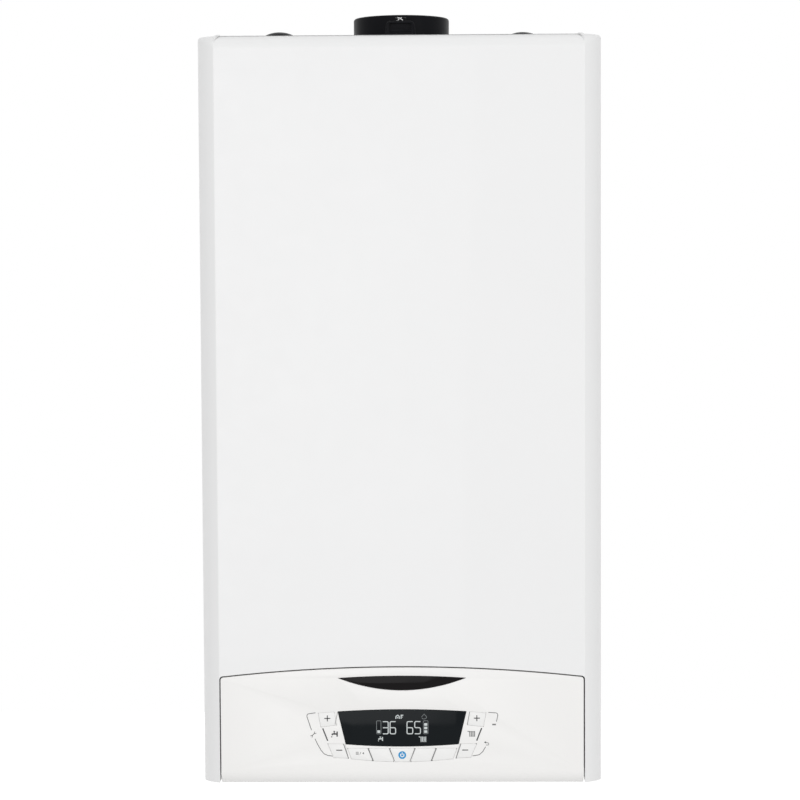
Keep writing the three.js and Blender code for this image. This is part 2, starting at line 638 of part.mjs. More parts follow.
function controlBox() {
  const front = FASCIA_INNER + GAP;
  const outer = block([-BOX_HALF, BOX_HALF], [front, BOX_REAR], [BOX_FLOOR_Z, BOX_TOP_Z]);
  const inner = block([BOX_WALL - BOX_HALF, BOX_HALF - BOX_WALL], [front - 1, BOX_REAR - BOX_WALL],
    [BOX_FLOOR_Z + BOX_WALL, BOX_TOP_Z - BOX_WALL]);
  const ears = SIDES.map((side) => {
    const way = sign(side);
    const x = [way * (BOX_HALF - BOX_WALL), way * (BOX_HALF + EAR_WIDTH)].sort((a, b) => a - b);
    const free = [way * BOX_HALF, way * (BOX_HALF + EAR_WIDTH)].sort((a, b) => a - b);
    const arm = block(x, [BOX_REAR - 2 * BOX_FLOOR_Z, BOX_REAR - BOX_WALL],
      [HINGE_Z, HINGE_Z + 2 * EAR_MARGIN]);
    const eye = join(
      block(free, [BOX_REAR - 2 * BOX_FLOOR_Z, HINGE_Y], [HINGE_Z - EAR_MARGIN, HINGE_Z + 2 * EAR_MARGIN]),
      bar('x', PIN_RADIUS + EAR_MARGIN, free, [HINGE_Y, HINGE_Z], 20),
    );
    const hole = bar('x', PIN_RADIUS + PIN_CLEARANCE, [free[0] - 1, free[1] + 1], [HINGE_Y, HINGE_Z], 16);
    return cut(join(arm, eye), hole);
  });
  place('control_box', 'grey_plastic', join(cut(outer, inner), ...ears));
}

function controlBoard() {
  const half = BOX_HALF - BOX_WALL - GAP;
  const board = FRONT + BOARD_BACK;
  const front = block([-half, half], [board, board + BOARD_THICKNESS],
    [BOX_FLOOR_Z + BOX_WALL + GAP, BOX_TOP_Z - BOX_WALL - GAP]);
  place('control_board', 'green_board', front);
}

// ---------------------------------------------------------------- flue side

const SOCKET_RADIUS = FLUE_RADIUS + GAP;
const SKIRT_Z = ROOF_Z - COLLAR_SKIRT;
const SKIRT_RADIUS = COLLAR_RADIUS - COLLAR_WALL;
const COLLAR_BORE = SKIRT_RADIUS - COLLAR_WALL;
const DUCT_TOP_Z = ROOF_Z - COLLAR_SKIRT - GAP;
const BOSS_FRONT = FLUE_Y - COLLAR_FOOT_RADIUS - BOSS_REACH;
const CAP_Y = BOSS_FRONT + CAP_RADIUS + BOSS_REACH / 2;

function flueCollar() {
  const foot = HEIGHT + GAP;
  const top = HEIGHT + COLLAR_HEIGHT;
  const shoulder = HEIGHT + COLLAR_FOOT_HEIGHT;
  const wall = turned([
    [COLLAR_BORE, SKIRT_Z], [SKIRT_RADIUS, SKIRT_Z], [SKIRT_RADIUS, foot], [COLLAR_FOOT_RADIUS, foot],
    [COLLAR_FOOT_RADIUS, shoulder], [COLLAR_RADIUS, shoulder], [COLLAR_RADIUS, top],
    [COLLAR_BORE, top], [COLLAR_BORE, SKIRT_Z],
  ], [0, FLUE_Y], 32);
  const bossReach = [BOSS_FRONT, FLUE_Y - COLLAR_RADIUS + 1];
  const boss = block([-BOSS_HALF, BOSS_HALF], bossReach, [foot, top - CAP_DROP - CAP_HEIGHT]);
  const well = bar('z', CAP_RADIUS - 1 + GAP, [shoulder, top], [0, CAP_Y], 16);
  place('flue_collar', 'black_plastic', cut(join(wall, boss), well));
}

// Inner pipe of the collar. Its four spokes stand in the collar's bore.
function flueSocket() {
  const reach = [HEIGHT + GAP, HEIGHT + SEAL_HEIGHT];
  const long = COLLAR_BORE - GAP;
  const half = COLLAR_WALL / 2;
  const spokes = join(
    block([-long, long], [FLUE_Y - half, FLUE_Y + half], reach),
    block([-half, half], [FLUE_Y - long, FLUE_Y + long], reach),
  );
  const pipeWall = ring('z', SOCKET_RADIUS + SOCKET_WALL, SOCKET_RADIUS, [SKIRT_Z, HEIGHT + COLLAR_HEIGHT],
    [0, FLUE_Y], 24);
  const clear = bar('z', SOCKET_RADIUS + 1, [HEIGHT - 1, HEIGHT + COLLAR_HEIGHT], [0, FLUE_Y], 24);
  place('flue_inner_socket', 'black_plastic', join(pipeWall, cut(spokes, clear)));
}

function flueParts() {
  const sealTop = HEIGHT + COLLAR_HEIGHT - SEAL_HEIGHT;
  place('flue_seal', 'black_rubber',
    ring('z', FLUE_RADIUS, SEAL_RADIUS, [sealTop - SEAL_HEIGHT, sealTop], [0, FLUE_Y], 32));
  const spigotTop = HX_Z + HX_RADIUS + STUB_REACH / 2;
  place('flue_duct', 'white_plastic',
    ring('z', FLUE_RADIUS, FLUE_RADIUS - FLUE_WALL, [spigotTop + GAP, DUCT_TOP_Z], [0, FLUE_Y], 24));
  const seat = HEIGHT + COLLAR_HEIGHT - CAP_DROP - CAP_HEIGHT + GAP;
  const cap = join(
    bar('z', CAP_RADIUS, [seat, seat + CAP_HEIGHT - 2 * GAP], [0, CAP_Y], 20),
    bar('z', CAP_RADIUS - 1, [HEIGHT + COLLAR_FOOT_HEIGHT + GAP, seat + 1], [0, CAP_Y], 16),
  );
  const slot = block([-CAP_RADIUS + 1, CAP_RADIUS - 1], [CAP_Y - 0.6, CAP_Y + 0.6],
    [seat + CAP_HEIGHT / 2, seat + CAP_HEIGHT]);
  place('sampling_cap', 'black_plastic', cut(cap, slot));
}

function fluePlug(side) {
  const foot = HEIGHT + GAP;
  const rim = PLUG_FLANGE_HEIGHT + GAP;
  const arc = [1, 2, 3, 4].map((i) => {
    const angle = (i * Math.PI) / 10;
    return [PLUG_DOME_RADIUS * Math.cos(angle), foot + rim + (PLUG_DOME_HEIGHT - rim) * Math.sin(angle)];
  });
  place(`plug_${side}`, 'black_plastic', turned([
    [0, HEIGHT - PLUG_SKIRT_DEPTH], [PLUG_SKIRT_RADIUS, HEIGHT - PLUG_SKIRT_DEPTH],
    [PLUG_SKIRT_RADIUS, foot], [PLUG_FLANGE_RADIUS, foot],
    [PLUG_FLANGE_RADIUS - 1, foot + PLUG_FLANGE_HEIGHT],
    [PLUG_DOME_RADIUS + 1, foot + rim], [PLUG_DOME_RADIUS, foot + rim],
    ...arc, [0, foot + PLUG_DOME_HEIGHT - GAP],
  ], [sign(side) * PLUG_X, FRONT + PLUG_BACKS[side]], 28));
}

// ---------------------------------------------------------------- burner and heat exchanger

function heatExchanger() {
  const hollow = HX_RADIUS - HX_WALL;
  const shell = bar('y', HX_RADIUS, [HX_FRONT, HX_REAR], [HX_X, HX_Z], 40);
  const flue = bar('z', FLUE_RADIUS, [HX_Z, HX_Z + HX_RADIUS + STUB_REACH / 2], [0, FLUE_Y], 24);
  const drain = bar('z', HOSE_RADIUS, [HX_Z - HX_RADIUS - STUB_REACH / 2, HX_Z], [DRAIN_X, DRAIN_Y], 16);
  const width = [HX_X - HX_BRACKET_HALF, HX_X + HX_BRACKET_HALF];
  const bracket = join(
    block(width, [HX_REAR - HX_BRACKET_THICKNESS, HX_REAR], [HX_Z, HX_BRACKET_Z]),
    block(width, [HX_REAR - HX_BRACKET_THICKNESS, -BACK_SHEET - GAP],
      [HX_BRACKET_Z - HX_BRACKET_THICKNESS, HX_BRACKET_Z]),
  );
  place('heat_exchanger_shell', 'cast_aluminium', cut(
    join(shell, flue, drain, bracket),
    bar('y', hollow, [HX_FRONT - 1, HX_REAR - HX_WALL], [HX_X, HX_Z], 40),
    bar('z', FLUE_RADIUS - FLUE_WALL, [HX_Z, HX_Z + HX_RADIUS + STUB_REACH], [0, FLUE_Y], 24),
    bar('z', HOSE_RADIUS - FLUE_WALL, [HX_Z - HX_RADIUS - STUB_REACH, HX_Z], [DRAIN_X, DRAIN_Y], 16),
  ));
}

// Stacked turns of the water coil, bulging between the pinches.
function heatExchangerCoil() {
  const start = HX_REAR - HX_WALL - GAP - COIL_TURNS * COIL_PITCH;
  const outer = [];
  const inner = [];
  for (let turn = 0; turn < COIL_TURNS; turn += 1) {
    const from = turn * COIL_PITCH;
    outer.push([COIL_RADIUS - COIL_PINCH, from], [COIL_RADIUS, from + COIL_PITCH / 2]);
    inner.unshift([COIL_BORE, from + COIL_PITCH / 2], [COIL_BORE + COIL_PINCH, from]);
  }
  const end = COIL_TURNS * COIL_PITCH;
  const profile = [...outer, [COIL_RADIUS - COIL_PINCH, end], [COIL_BORE + COIL_PINCH, end], ...inner];
  const points = [...profile, profile[0]].map(([radius, along]) => new THREE.Vector2(radius, along));
  place('heat_exchanger_coil', 'stainless',
    toSolid(new THREE.LatheGeometry(points, 16).translate(HX_X, start, HX_Z)));
}

function burnerDoor() {
  const back = HX_FRONT - GAP;
  const plate = bar('y', HX_RADIUS - 2, [back - DOOR_THICKNESS + GAP, back], [HX_X, HX_Z], 40);
  const hub = bar('y', BURNER_RADIUS + HX_WALL, [FAN_FRONT, back - 1], [HX_X, HX_Z], 28);
  const armZ = [FAN_Z - FAN_RADIUS, FAN_Z - FAN_RADIUS + DOOR_ARM_HEIGHT];
  const armX = [HX_X, FAN_X - FAN_RADIUS + FAN_WALL - GAP];
  const arm = block(armX, [FAN_FRONT, back - DOOR_THICKNESS + GAP], armZ);
  const burner = bar('y', BURNER_RADIUS, [back - 1, back + BURNER_LENGTH], [HX_X, HX_Z], 24);
  place('burner_door', 'cast_aluminium', join(plate, hub, arm, burner));
}

function fanAndMixer() {
  const centre = [FAN_X, FAN_Z];
  const hollow = [FAN_FRONT + FAN_WALL, FAN_REAR - FAN_WALL];
  const armZ = [FAN_Z - FAN_RADIUS, FAN_Z - FAN_RADIUS + DOOR_ARM_HEIGHT];
  const volute = bar('y', FAN_RADIUS, [FAN_FRONT, FAN_REAR], centre, 32);
  const outletX = [FAN_X - FAN_RADIUS + FAN_WALL, FAN_X];
  const outlet = block(outletX, [FAN_FRONT, HX_FRONT - DOOR_THICKNESS], armZ);
  const motor = bar('y', FAN_MOTOR_RADIUS, [FAN_FRONT - FAN_MOTOR_LENGTH, FAN_FRONT + 1], centre, 28);
  const mouth = block([FAN_X - FAN_RADIUS, FAN_X - FAN_WALL],
    [hollow[0], HX_FRONT - DOOR_THICKNESS - FAN_WALL / 2],
    [armZ[0] + FAN_WALL / 2, armZ[1] - FAN_WALL / 2]);
  const shaft = bar('y', FAN_SHAFT_RADIUS, [hollow[0] - 1, hollow[1] - FAN_WALL], centre, 12);
  place('fan_housing', 'cast_aluminium', join(cut(
    join(volute, outlet, motor),
    bar('y', FAN_RADIUS - FAN_WALL, hollow, centre, 32),
    bar('y', MIXER_BORE, [hollow[1] - 1, FAN_REAR + 1], centre, 24),
    mouth,
  ), shaft));

  const impellerReach = [hollow[0] + 4 * GAP, hollow[1] - 4 * GAP];
  const rim = FAN_RADIUS - 2 * FAN_WALL;
  const disc = bar('y', rim, [impellerReach[0], impellerReach[0] + 2], centre, 28);
  const hub = bar('y', FAN_SHAFT_RADIUS * 2.5, impellerReach, centre, 16);
  const blades = Array.from({ length: IMPELLER_BLADES }, (_, i) => {
    const geometry = new THREE.BoxGeometry(rim - MIXER_BORE, span(impellerReach), 1.5);
    geometry.translate((rim + MIXER_BORE) / 2 - 1, mid(impellerReach), 0);
    geometry.rotateY((i * 2 * Math.PI) / IMPELLER_BLADES).translate(FAN_X, 0, FAN_Z);
    return toSolid(geometry);
  });
  const boreReach = [impellerReach[0] - 1, impellerReach[1] + 1];
  const bore = bar('y', FAN_SHAFT_RADIUS + PIN_CLEARANCE, boreReach, centre, 12);
  place('fan_impeller', 'grey_plastic', cut(join(disc, hub, ...blades), bore));

  const mixerReach = [FAN_REAR + GAP, FAN_REAR + GAP + MIXER_LENGTH];
  const silencerReach = [mixerReach[1] - 1, -VESSEL_DEPTH - HX_WALL * 2];
  place('gas_mixer', 'cast_aluminium', cut(
    join(
      bar('y', MIXER_RADIUS, mixerReach, centre, 24),
      block([FAN_X - VALVE_HALF, FAN_X + VALVE_HALF], silencerReach,
        [FAN_Z - MIXER_RADIUS, FAN_Z - MIXER_RADIUS + SILENCER_HEIGHT]),
    ),
    bar('y', MIXER_BORE, [mixerReach[0] - 1, silencerReach[1] - FAN_WALL], centre, 20),
    bar('z', MIXER_BORE, [FAN_Z, FAN_Z + SILENCER_HEIGHT], [FAN_X, mid(silencerReach)], 20),
  ));

  const valveTop = FAN_Z - FAN_RADIUS - GAP;
  const valveY = [FAN_REAR + GAP, FAN_REAR + GAP + VALVE_DEPTH];
  const spigotReach = [valveTop - 1, FAN_Z - MIXER_RADIUS - GAP];
  const spigot = bar('z', HOSE_RADIUS, spigotReach, [FAN_X, mid(mixerReach)], 16);
  const coilReach = [valveY[0] - HX_WALL * 2, valveY[0] + 1];
  place('gas_valve', 'cast_aluminium', join(
    block([FAN_X - VALVE_HALF, FAN_X + VALVE_HALF], valveY, [valveTop - VALVE_HEIGHT, valveTop]),
    spigot,
    bar('y', VALVE_HALF / 2, coilReach, [FAN_X, valveTop - VALVE_HEIGHT / 2], 20),
  ));
}

// ---------------------------------------------------------------- water side

function expansionVessel() {
  const shape = new THREE.Shape();
  const radius = VESSEL_DEPTH;
  const [left, right] = [-VESSEL_HALF, VESSEL_HALF];
  shape.moveTo(left + radius, VESSEL_FOOT_Z);
  shape.absarc(right - radius, VESSEL_FOOT_Z + radius, radius, -Math.PI / 2, 0, false);
  shape.absarc(right - radius, VESSEL_TOP_Z - radius, radius, 0, Math.PI / 2, false);
  shape.absarc(left + radius, VESSEL_TOP_Z - radius, radius, Math.PI / 2, Math.PI, false);
  shape.absarc(left + radius, VESSEL_FOOT_Z + radius, radius, Math.PI, 1.5 * Math.PI, false);
  const back = -BACK_SHEET - GAP;
  place('expansion_vessel', 'red_paint', faced(shape, [back - VESSEL_DEPTH, back], 6));
}

// A pipe with its union nut under the casing, bored from end to end.
function pipe(name, finish, radius, points) {
  const [x, y] = points[0];
  const nutReach = [-NUT_Z - NUT_HEIGHT, -NUT_Z];
  const nut = cut(bar('z', radius + NUT_REACH, nutReach, [x, y], 6),
    bar('z', radius - PIPE_WALL / 2, [-STUB_REACH, 0], [x, y], 16));
  place(name, finish, join(swept(points, radius, radius - PIPE_WALL), nut));
}

function pipes() {
  const foot = -STUB_REACH;
  const blockFoot = MANIFOLD_FOOT_Z - GAP;
  const straight = (x, top) => [foot, foot / 2, top / 2, top].map((z) => [x, PIPE_Y, z]);
  pipe('flow_pipe', 'copper', HEATING_PIPE_RADIUS, straight(FLOW_X, blockFoot));
  pipe('return_pipe', 'copper', HEATING_PIPE_RADIUS, straight(RETURN_X, blockFoot));

  const plateY = (PLATE_HX_FRONT + PLATE_HX_REAR) / 2;
  for (const [name, way] of [['hot_water_pipe', -1], ['cold_water_pipe', 1]]) {
    const x = way * PIPE_PITCH;
    pipe(name, 'copper', WATER_PIPE_RADIUS, [
      [x, PIPE_Y, foot], [x, PIPE_Y, 0], [x, PIPE_Y, MANIFOLD_FOOT_Z / 4],
      [x, mid([PIPE_Y, plateY]), MANIFOLD_FOOT_Z / 2], [x, plateY, 3 * MANIFOLD_FOOT_Z / 4],
      [x, plateY, blockFoot],
    ]);
  }

  const valveFoot = FAN_Z - FAN_RADIUS - 2 * GAP - VALVE_HEIGHT;
  const valveY = FAN_REAR + GAP + VALVE_DEPTH / 2;
  pipe('gas_pipe', 'copper', GAS_PIPE_RADIUS, [
    [0, PIPE_Y, foot], [0, PIPE_Y, 0], [0, PIPE_Y, VESSEL_FOOT_Z / 2],
    [FAN_X / 4, mid([PIPE_Y, valveY]), VESSEL_FOOT_Z - PLATE_HX_HEIGHT],
    [FAN_X, valveY, valveFoot - GAS_STRAIGHT], [FAN_X, valveY, valveFoot - GAS_STRAIGHT / 3],
    [FAN_X, valveY, valveFoot],
  ]);
}

function manifolds() {
  const plateLeft = PLATE_HX_HALF + GAP;
  const top = MANIFOLD_FOOT_Z + MANIFOLD_HEIGHT;
  const z = [MANIFOLD_FOOT_Z, top];
  const linkY = [PLATE_HX_FRONT - 1, PLATE_HX_REAR];
  const linkZ = [MANIFOLD_FOOT_Z + PIPE_WALL, top - 2 * HX_WALL];
  for (const [name, x] of [['flow_manifold', FLOW_X], ['return_manifold', RETURN_X]]) {
    const way = Math.sign(x);
    const linkX = [way * plateLeft, x + way * MANIFOLD_HALF].sort((a, b) => a - b);
    const bodyX = [x - MANIFOLD_HALF, x + MANIFOLD_HALF];
    const body = block(bodyX, [PIPE_Y - MANIFOLD_HALF, PIPE_Y + MANIFOLD_HALF], z);
    place(name, 'grey_plastic', join(body, block(linkX, linkY, linkZ)));
  }
  place('plate_heat_exchanger', 'stainless', block([-PLATE_HX_HALF, PLATE_HX_HALF],
    [PLATE_HX_FRONT, PLATE_HX_REAR],
    [MANIFOLD_FOOT_Z, MANIFOLD_FOOT_Z + PLATE_HX_HEIGHT]));
  const front = PIPE_Y - MANIFOLD_HALF - GAP;
  place('diverter_motor', 'black_plastic', bar('y', DIVERTER_RADIUS, [front - DIVERTER_LENGTH, front],
    [RETURN_X, MANIFOLD_FOOT_Z + MANIFOLD_HEIGHT / 2], 24));
}

function pump() {
  const centre = [RETURN_X, PUMP_Z];
  const foot = MANIFOLD_FOOT_Z + MANIFOLD_HEIGHT + GAP;
  const reach = [PIPE_Y - MANIFOLD_HALF, PIPE_Y - MANIFOLD_HALF + PUMP_LENGTH];
  const hollow = [reach[0] - 1, reach[1] - PUMP_WALL];
  const inletX = [RETURN_X - MANIFOLD_HALF / 2, RETURN_X + MANIFOLD_HALF / 2];
  place('pump_housing', 'cast_aluminium', cut(
    join(
      bar('y', PUMP_RADIUS, reach, centre, 28),
      block(inletX, [reach[0] + PUMP_WALL, reach[1]], [foot, PUMP_Z]),
      bar('z', HEATING_PIPE_RADIUS + PIPE_WALL, [PUMP_Z, PUMP_TOP_Z], [RETURN_X, PIPE_Y], 20),
    ),
    bar('y', PUMP_RADIUS - PUMP_WALL, hollow, centre, 28),
    bar('z', HEATING_PIPE_RADIUS - PIPE_WALL, [PUMP_Z, PUMP_TOP_Z + 1], [RETURN_X, PIPE_Y], 16),
  ));
  const shaftEnd = hollow[1] - PUMP_WALL;
  place('pump_motor', 'black_plastic', join(
    bar('y', PUMP_RADIUS - 1, [reach[0] - GAP - PUMP_MOTOR_LENGTH, reach[0] - GAP], centre, 28),
    bar('y', PUMP_SHAFT_RADIUS, [reach[0] - 1, shaftEnd], centre, 12),
  ));
  const rim = PUMP_RADIUS - 2 * PUMP_WALL;
  const impellerReach = [reach[0] + PUMP_WALL, hollow[1] - 4 * GAP];
  place('pump_impeller', 'grey_plastic', cut(
    join(
      bar('y', rim, [impellerReach[0], impellerReach[0] + PUMP_SHAFT_RADIUS], centre, 24),
      bar('y', PUMP_SHAFT_RADIUS * 3, impellerReach, centre, 16),
    ),
    bar('y', PUMP_SHAFT_RADIUS + PIN_CLEARANCE, [impellerReach[0] - 1, impellerReach[1] + 1], centre, 12),
  ));
}

// The pipes from the pump and the flow manifold up to the shell, cut to the shell's curve.
function risers() {
  const shell = bar('y', HX_RADIUS + GAP, [HX_FRONT, HX_REAR], [HX_X, HX_Z], 40);
  const shellFoot = HX_Z - HX_RADIUS - GAP;
  const runs = [
    ['hx_return_pipe', RETURN_X, HX_X + RISER_OFFSET, PUMP_TOP_Z + GAP, RETURN_STRAIGHTS],
    ['hx_flow_pipe', FLOW_X, HX_X - RISER_OFFSET, MANIFOLD_FOOT_Z + MANIFOLD_HEIGHT + GAP, FLOW_STRAIGHTS],
  ];
  for (const [name, from, to, foot, [low, high]] of runs) {
    const points = [
      [from, PIPE_Y, foot], [from, PIPE_Y, foot + low],
      [to, PIPE_Y, shellFoot - high], [to, PIPE_Y, shellFoot + RISER_ENTRY],
    ];
    place(name, 'copper', cut(swept(points, HEATING_PIPE_RADIUS - 1), shell));
  }
}

// A knob on its spindle, which enters the valve's body.
function knob(name, finish, [x, z], seat) {
  place(name, finish, join(
    bar('y', KNOB_RADIUS, [seat - GAP - KNOB_LENGTH, seat - GAP], [x, z], 12),
    bar('y', SPINDLE_RADIUS, [seat - 1, seat + KNOB_LENGTH / 2], [x, z], 12),
  ));
}

const socketFor = (centre, seat) =>
  bar('y', SPINDLE_RADIUS + PIN_CLEARANCE, [seat - 1, seat + KNOB_LENGTH], centre, 12);

function valves() {
  const front = PIPE_Y - MANIFOLD_HALF - GAP;
  const relief = [FLOW_X + RELIEF_SIDE, MANIFOLD_FOOT_Z + MANIFOLD_HEIGHT / 2];
  place('relief_valve', 'brass', cut(
    bar('y', RELIEF_RADIUS, [front - RELIEF_LENGTH, front], relief, 20),
    socketFor(relief, front - RELIEF_LENGTH),
  ));
  knob('relief_knob', 'red_paint', relief, front - RELIEF_LENGTH);

  const fill = [FILL_X, FILL_Z];
  const x = [PIPE_PITCH + WATER_PIPE_RADIUS + GAP, RETURN_X - HEATING_PIPE_RADIUS - GAP];
  const y = [PIPE_Y - WATER_PIPE_RADIUS, PIPE_Y + WATER_PIPE_RADIUS];
  const stem = bar('y', RELIEF_RADIUS, [y[0] - KNOB_LENGTH, y[1]], fill, 16);
  place('filling_valve', 'brass', cut(
    join(block(x, y, [FILL_Z - WATER_PIPE_RADIUS, FILL_Z + WATER_PIPE_RADIUS]), stem),
    socketFor(fill, y[0] - KNOB_LENGTH),
  ));
  knob('filling_knob', 'black_plastic', fill, y[0] - KNOB_LENGTH);
}

function condensate() {
  const centre = [TRAP_X, TRAP_Y];
  const inner = HOSE_RADIUS - FLUE_WALL;
  place('condensate_trap', 'white_plastic', cut(
    join(
      bar('z', TRAP_RADIUS, [TRAP_FOOT_Z, TRAP_TOP_Z], centre, 24),
      bar('z', HOSE_RADIUS, [-STUB_REACH / 2, TRAP_FOOT_Z + 1], centre, 16),
    ),
    bar('z', inner, [-STUB_REACH, TRAP_TOP_Z - TRAP_RADIUS], centre, 16),
  ));
  const drainZ = HX_Z - HX_RADIUS - STUB_REACH / 2 - GAP;
  place('condensate_hose', 'grey_plastic', swept([
    [TRAP_X, TRAP_Y, TRAP_TOP_Z + GAP], [TRAP_X, TRAP_Y, TRAP_TOP_Z + TRAP_RADIUS],
    [DRAIN_X, DRAIN_Y, drainZ - 2 * TRAP_RADIUS], [DRAIN_X, DRAIN_Y, drainZ],
  ], HOSE_RADIUS));
}

// ---------------------------------------------------------------- the whole boiler

backPanel();
SIDES.forEach(sidePanel);
roofPanel();
basePlate();
SIDES.forEach(panelHinge);
frontCover();
SIDES.forEach(coverScrew);
fascia();
panelInsets();
Object.entries(KEYS).forEach(([name, outline]) => keyCap(name, outline));
controlBox();
controlBoard();
flueCollar();
flueSocket();
flueParts();
SIDES.forEach(fluePlug);
heatExchanger();
heatExchangerCoil();
burnerDoor();
fanAndMixer();
expansionVessel();
pipes();
manifolds();
pump();
risers();
valves();
condensate();

export default boiler;
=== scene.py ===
"""Looks of a wall-hung combi boiler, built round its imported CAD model.

Metres, +X right, -Y to the front, +Z up. The origin is on the back face at the height of the hanging slots.
"""

import json
import math
from contextlib import contextmanager

import bmesh
import bpy
from mathutils import Matrix, Vector


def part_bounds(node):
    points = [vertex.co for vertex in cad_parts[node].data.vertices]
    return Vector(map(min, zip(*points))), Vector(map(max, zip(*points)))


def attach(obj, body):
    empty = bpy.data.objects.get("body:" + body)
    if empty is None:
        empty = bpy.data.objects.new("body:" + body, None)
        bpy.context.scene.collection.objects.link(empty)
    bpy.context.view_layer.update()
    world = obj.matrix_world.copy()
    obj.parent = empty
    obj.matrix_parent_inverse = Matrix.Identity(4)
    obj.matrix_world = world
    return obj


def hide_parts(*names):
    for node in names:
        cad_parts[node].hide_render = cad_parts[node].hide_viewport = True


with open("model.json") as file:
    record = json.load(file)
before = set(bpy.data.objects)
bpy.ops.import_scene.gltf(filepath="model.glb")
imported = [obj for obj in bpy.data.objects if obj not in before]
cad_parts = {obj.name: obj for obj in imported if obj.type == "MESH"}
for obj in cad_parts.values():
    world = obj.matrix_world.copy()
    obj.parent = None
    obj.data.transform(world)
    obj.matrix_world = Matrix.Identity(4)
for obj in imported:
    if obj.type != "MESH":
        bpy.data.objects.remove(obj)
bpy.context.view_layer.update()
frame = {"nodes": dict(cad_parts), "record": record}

MM = 0.001

# ------------------------------------------------------------ places taken from the frame

COVER_LOW, COVER_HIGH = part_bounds("front_cover")
FASCIA_LOW, FASCIA_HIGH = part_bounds("fascia")
FRONT = COVER_LOW[1]
COVER_BACK = COVER_HIGH[1]
HALF_WIDTH = COVER_HIGH[0]
TOP = COVER_HIGH[2]
FOOT = COVER_LOW[2]
FASCIA_HALF = FASCIA_HIGH[0]
FASCIA_BACK = FASCIA_HIGH[1]
ARCH_TOP = FASCIA_HIGH[2]


def at(x, z):
    """A place on the front, given in millimetres from the middle and from the casing's foot."""
    return (x * MM, FOOT + z * MM)


# ------------------------------------------------------------ camera, light and floor

CAMERA_AWAY = 2.352      # in front of the cover's face
CAMERA_HEIGHT = 0.527    # above the casing's foot
CAMERA_AIM_HEIGHT = 0.3852
CAMERA_X = 0.0419
CAMERA_AIM_X = -0.0004
CAMERA_LENS = 107.15     # on a 36 mm sensor
CAMERA_ROLL = math.radians(-0.298)
FLOOR_DROP = 2.3         # floor below the casing's foot, which hangs on a wall
FLOOR_HALF = 12.0
FLOOR_GLOW = 0.55
WORLD_FILL = 0.69
LIGHT_AIM = (0.0, FRONT, -0.33)
LIGHTS = {               # place, aim, size and power
    "key_light": ((-0.75, -3.25, 0.0), LIGHT_AIM, (1.8, 2.2), 22.0),
    "side_light": ((1.9, -2.6, 0.1), LIGHT_AIM, (1.4, 2.2), 13.5),
    "top_light": ((0.0, -0.6, 2.4), (0.0, -0.15, 0.0), (1.6, 1.0), 2.5),
}


def new_object(name, data):
    thing = bpy.data.objects.new(name, data)
    bpy.context.scene.collection.objects.link(thing)
    return thing


def new_node(tree, kind, values=(), **settings):
    """A shader node with its own settings and with values for its inputs."""
    node = tree.nodes.new(f"ShaderNode{kind}")
    for key, value in settings.items():
        setattr(node, key, value)
    for key, value in dict(values).items():
        node.inputs[key].default_value = value
    return node


def facing(place, aim):
    return (Vector(aim) - Vector(place)).to_track_quat("-Z", "Y")


def make_camera():
    data = bpy.data.cameras.new("camera")
    data.sensor_width = 36.0
    data.lens = CAMERA_LENS
    data.clip_end = 50.0
    camera = new_object("camera", data)
    place = (CAMERA_X, FRONT - CAMERA_AWAY, FOOT + CAMERA_HEIGHT)
    turn = facing(place, (CAMERA_AIM_X, FRONT, FOOT + CAMERA_AIM_HEIGHT)).to_matrix().to_4x4()
    camera.matrix_world = Matrix.Translation(place) @ turn @ Matrix.Rotation(CAMERA_ROLL, 4, "Z")
    bpy.context.scene.camera = camera


def make_lights():
    for name, (place, aim, size, power) in LIGHTS.items():
        data = bpy.data.lights.new(name, "AREA")
        data.shape = "RECTANGLE"
        data.size, data.size_y = size
        data.energy = power
        light = new_object(name, data)
        light.location = place
        light.rotation_euler = facing(place, aim).to_euler()


def white_for_the_camera(tree, lit, shown):
    """Mixes what lights the object with the plain white that the camera and reflections see."""
    path = new_node(tree, "LightPath")
    seen = path.outputs["Is Camera Ray"]
    for kind in ("Is Glossy Ray", "Is Transmission Ray"):
        either = new_node(tree, "Math", operation="MAXIMUM")
        tree.links.new(seen, either.inputs[0])
        tree.links.new(path.outputs[kind], either.inputs[1])
        seen = either.outputs[0]
    mix = new_node(tree, "MixShader")
    tree.links.new(seen, mix.inputs["Fac"])
    tree.links.new(lit, mix.inputs[1])
    tree.links.new(shown, mix.inputs[2])
    return mix.outputs["Shader"]


def make_world():
    world = bpy.data.worlds.new("studio")
    bpy.context.scene.world = world
    world.use_nodes = True
    tree = world.node_tree
    tree.nodes.clear()
    fill, white = (new_node(tree, "Background", {"Color": (1.0, 1.0, 1.0, 1.0), "Strength": strength})
                   for strength in (WORLD_FILL, 1.0))
    out = new_node(tree, "OutputWorld")
    tree.links.new(white_for_the_camera(tree, fill.outputs[0], white.outputs[0]), out.inputs["Surface"])


def make_floor():
    """A pale floor below the boiler. It glows a little to the camera, so that it's white but keeps shadows."""
    height = FOOT - FLOOR_DROP
    mesh = bpy.data.meshes.new("floor")
    corners = [(x * FLOOR_HALF, y * FLOOR_HALF, height) for x, y in ((-1, -1), (1, -1), (1, 1), (-1, 1))]
    mesh.from_pydata(corners, [], [(0, 1, 2, 3)])
    floor = new_object("floor", mesh)
    paint = bpy.data.materials.new("floor_paint")
    paint.use_nodes = True
    tree = paint.node_tree
    tree.nodes.clear()
    matt = new_node(tree, "BsdfDiffuse", {"Color": (0.86, 0.86, 0.86, 1.0)})
    glow = new_node(tree, "Emission", {"Strength": FLOOR_GLOW})
    both = new_node(tree, "AddShader")
    tree.links.new(matt.outputs[0], both.inputs[0])
    tree.links.new(glow.outputs[0], both.inputs[1])
    out = new_node(tree, "OutputMaterial")
    tree.links.new(white_for_the_camera(tree, matt.outputs[0], both.outputs[0]), out.inputs["Surface"])
    mesh.materials.append(paint)


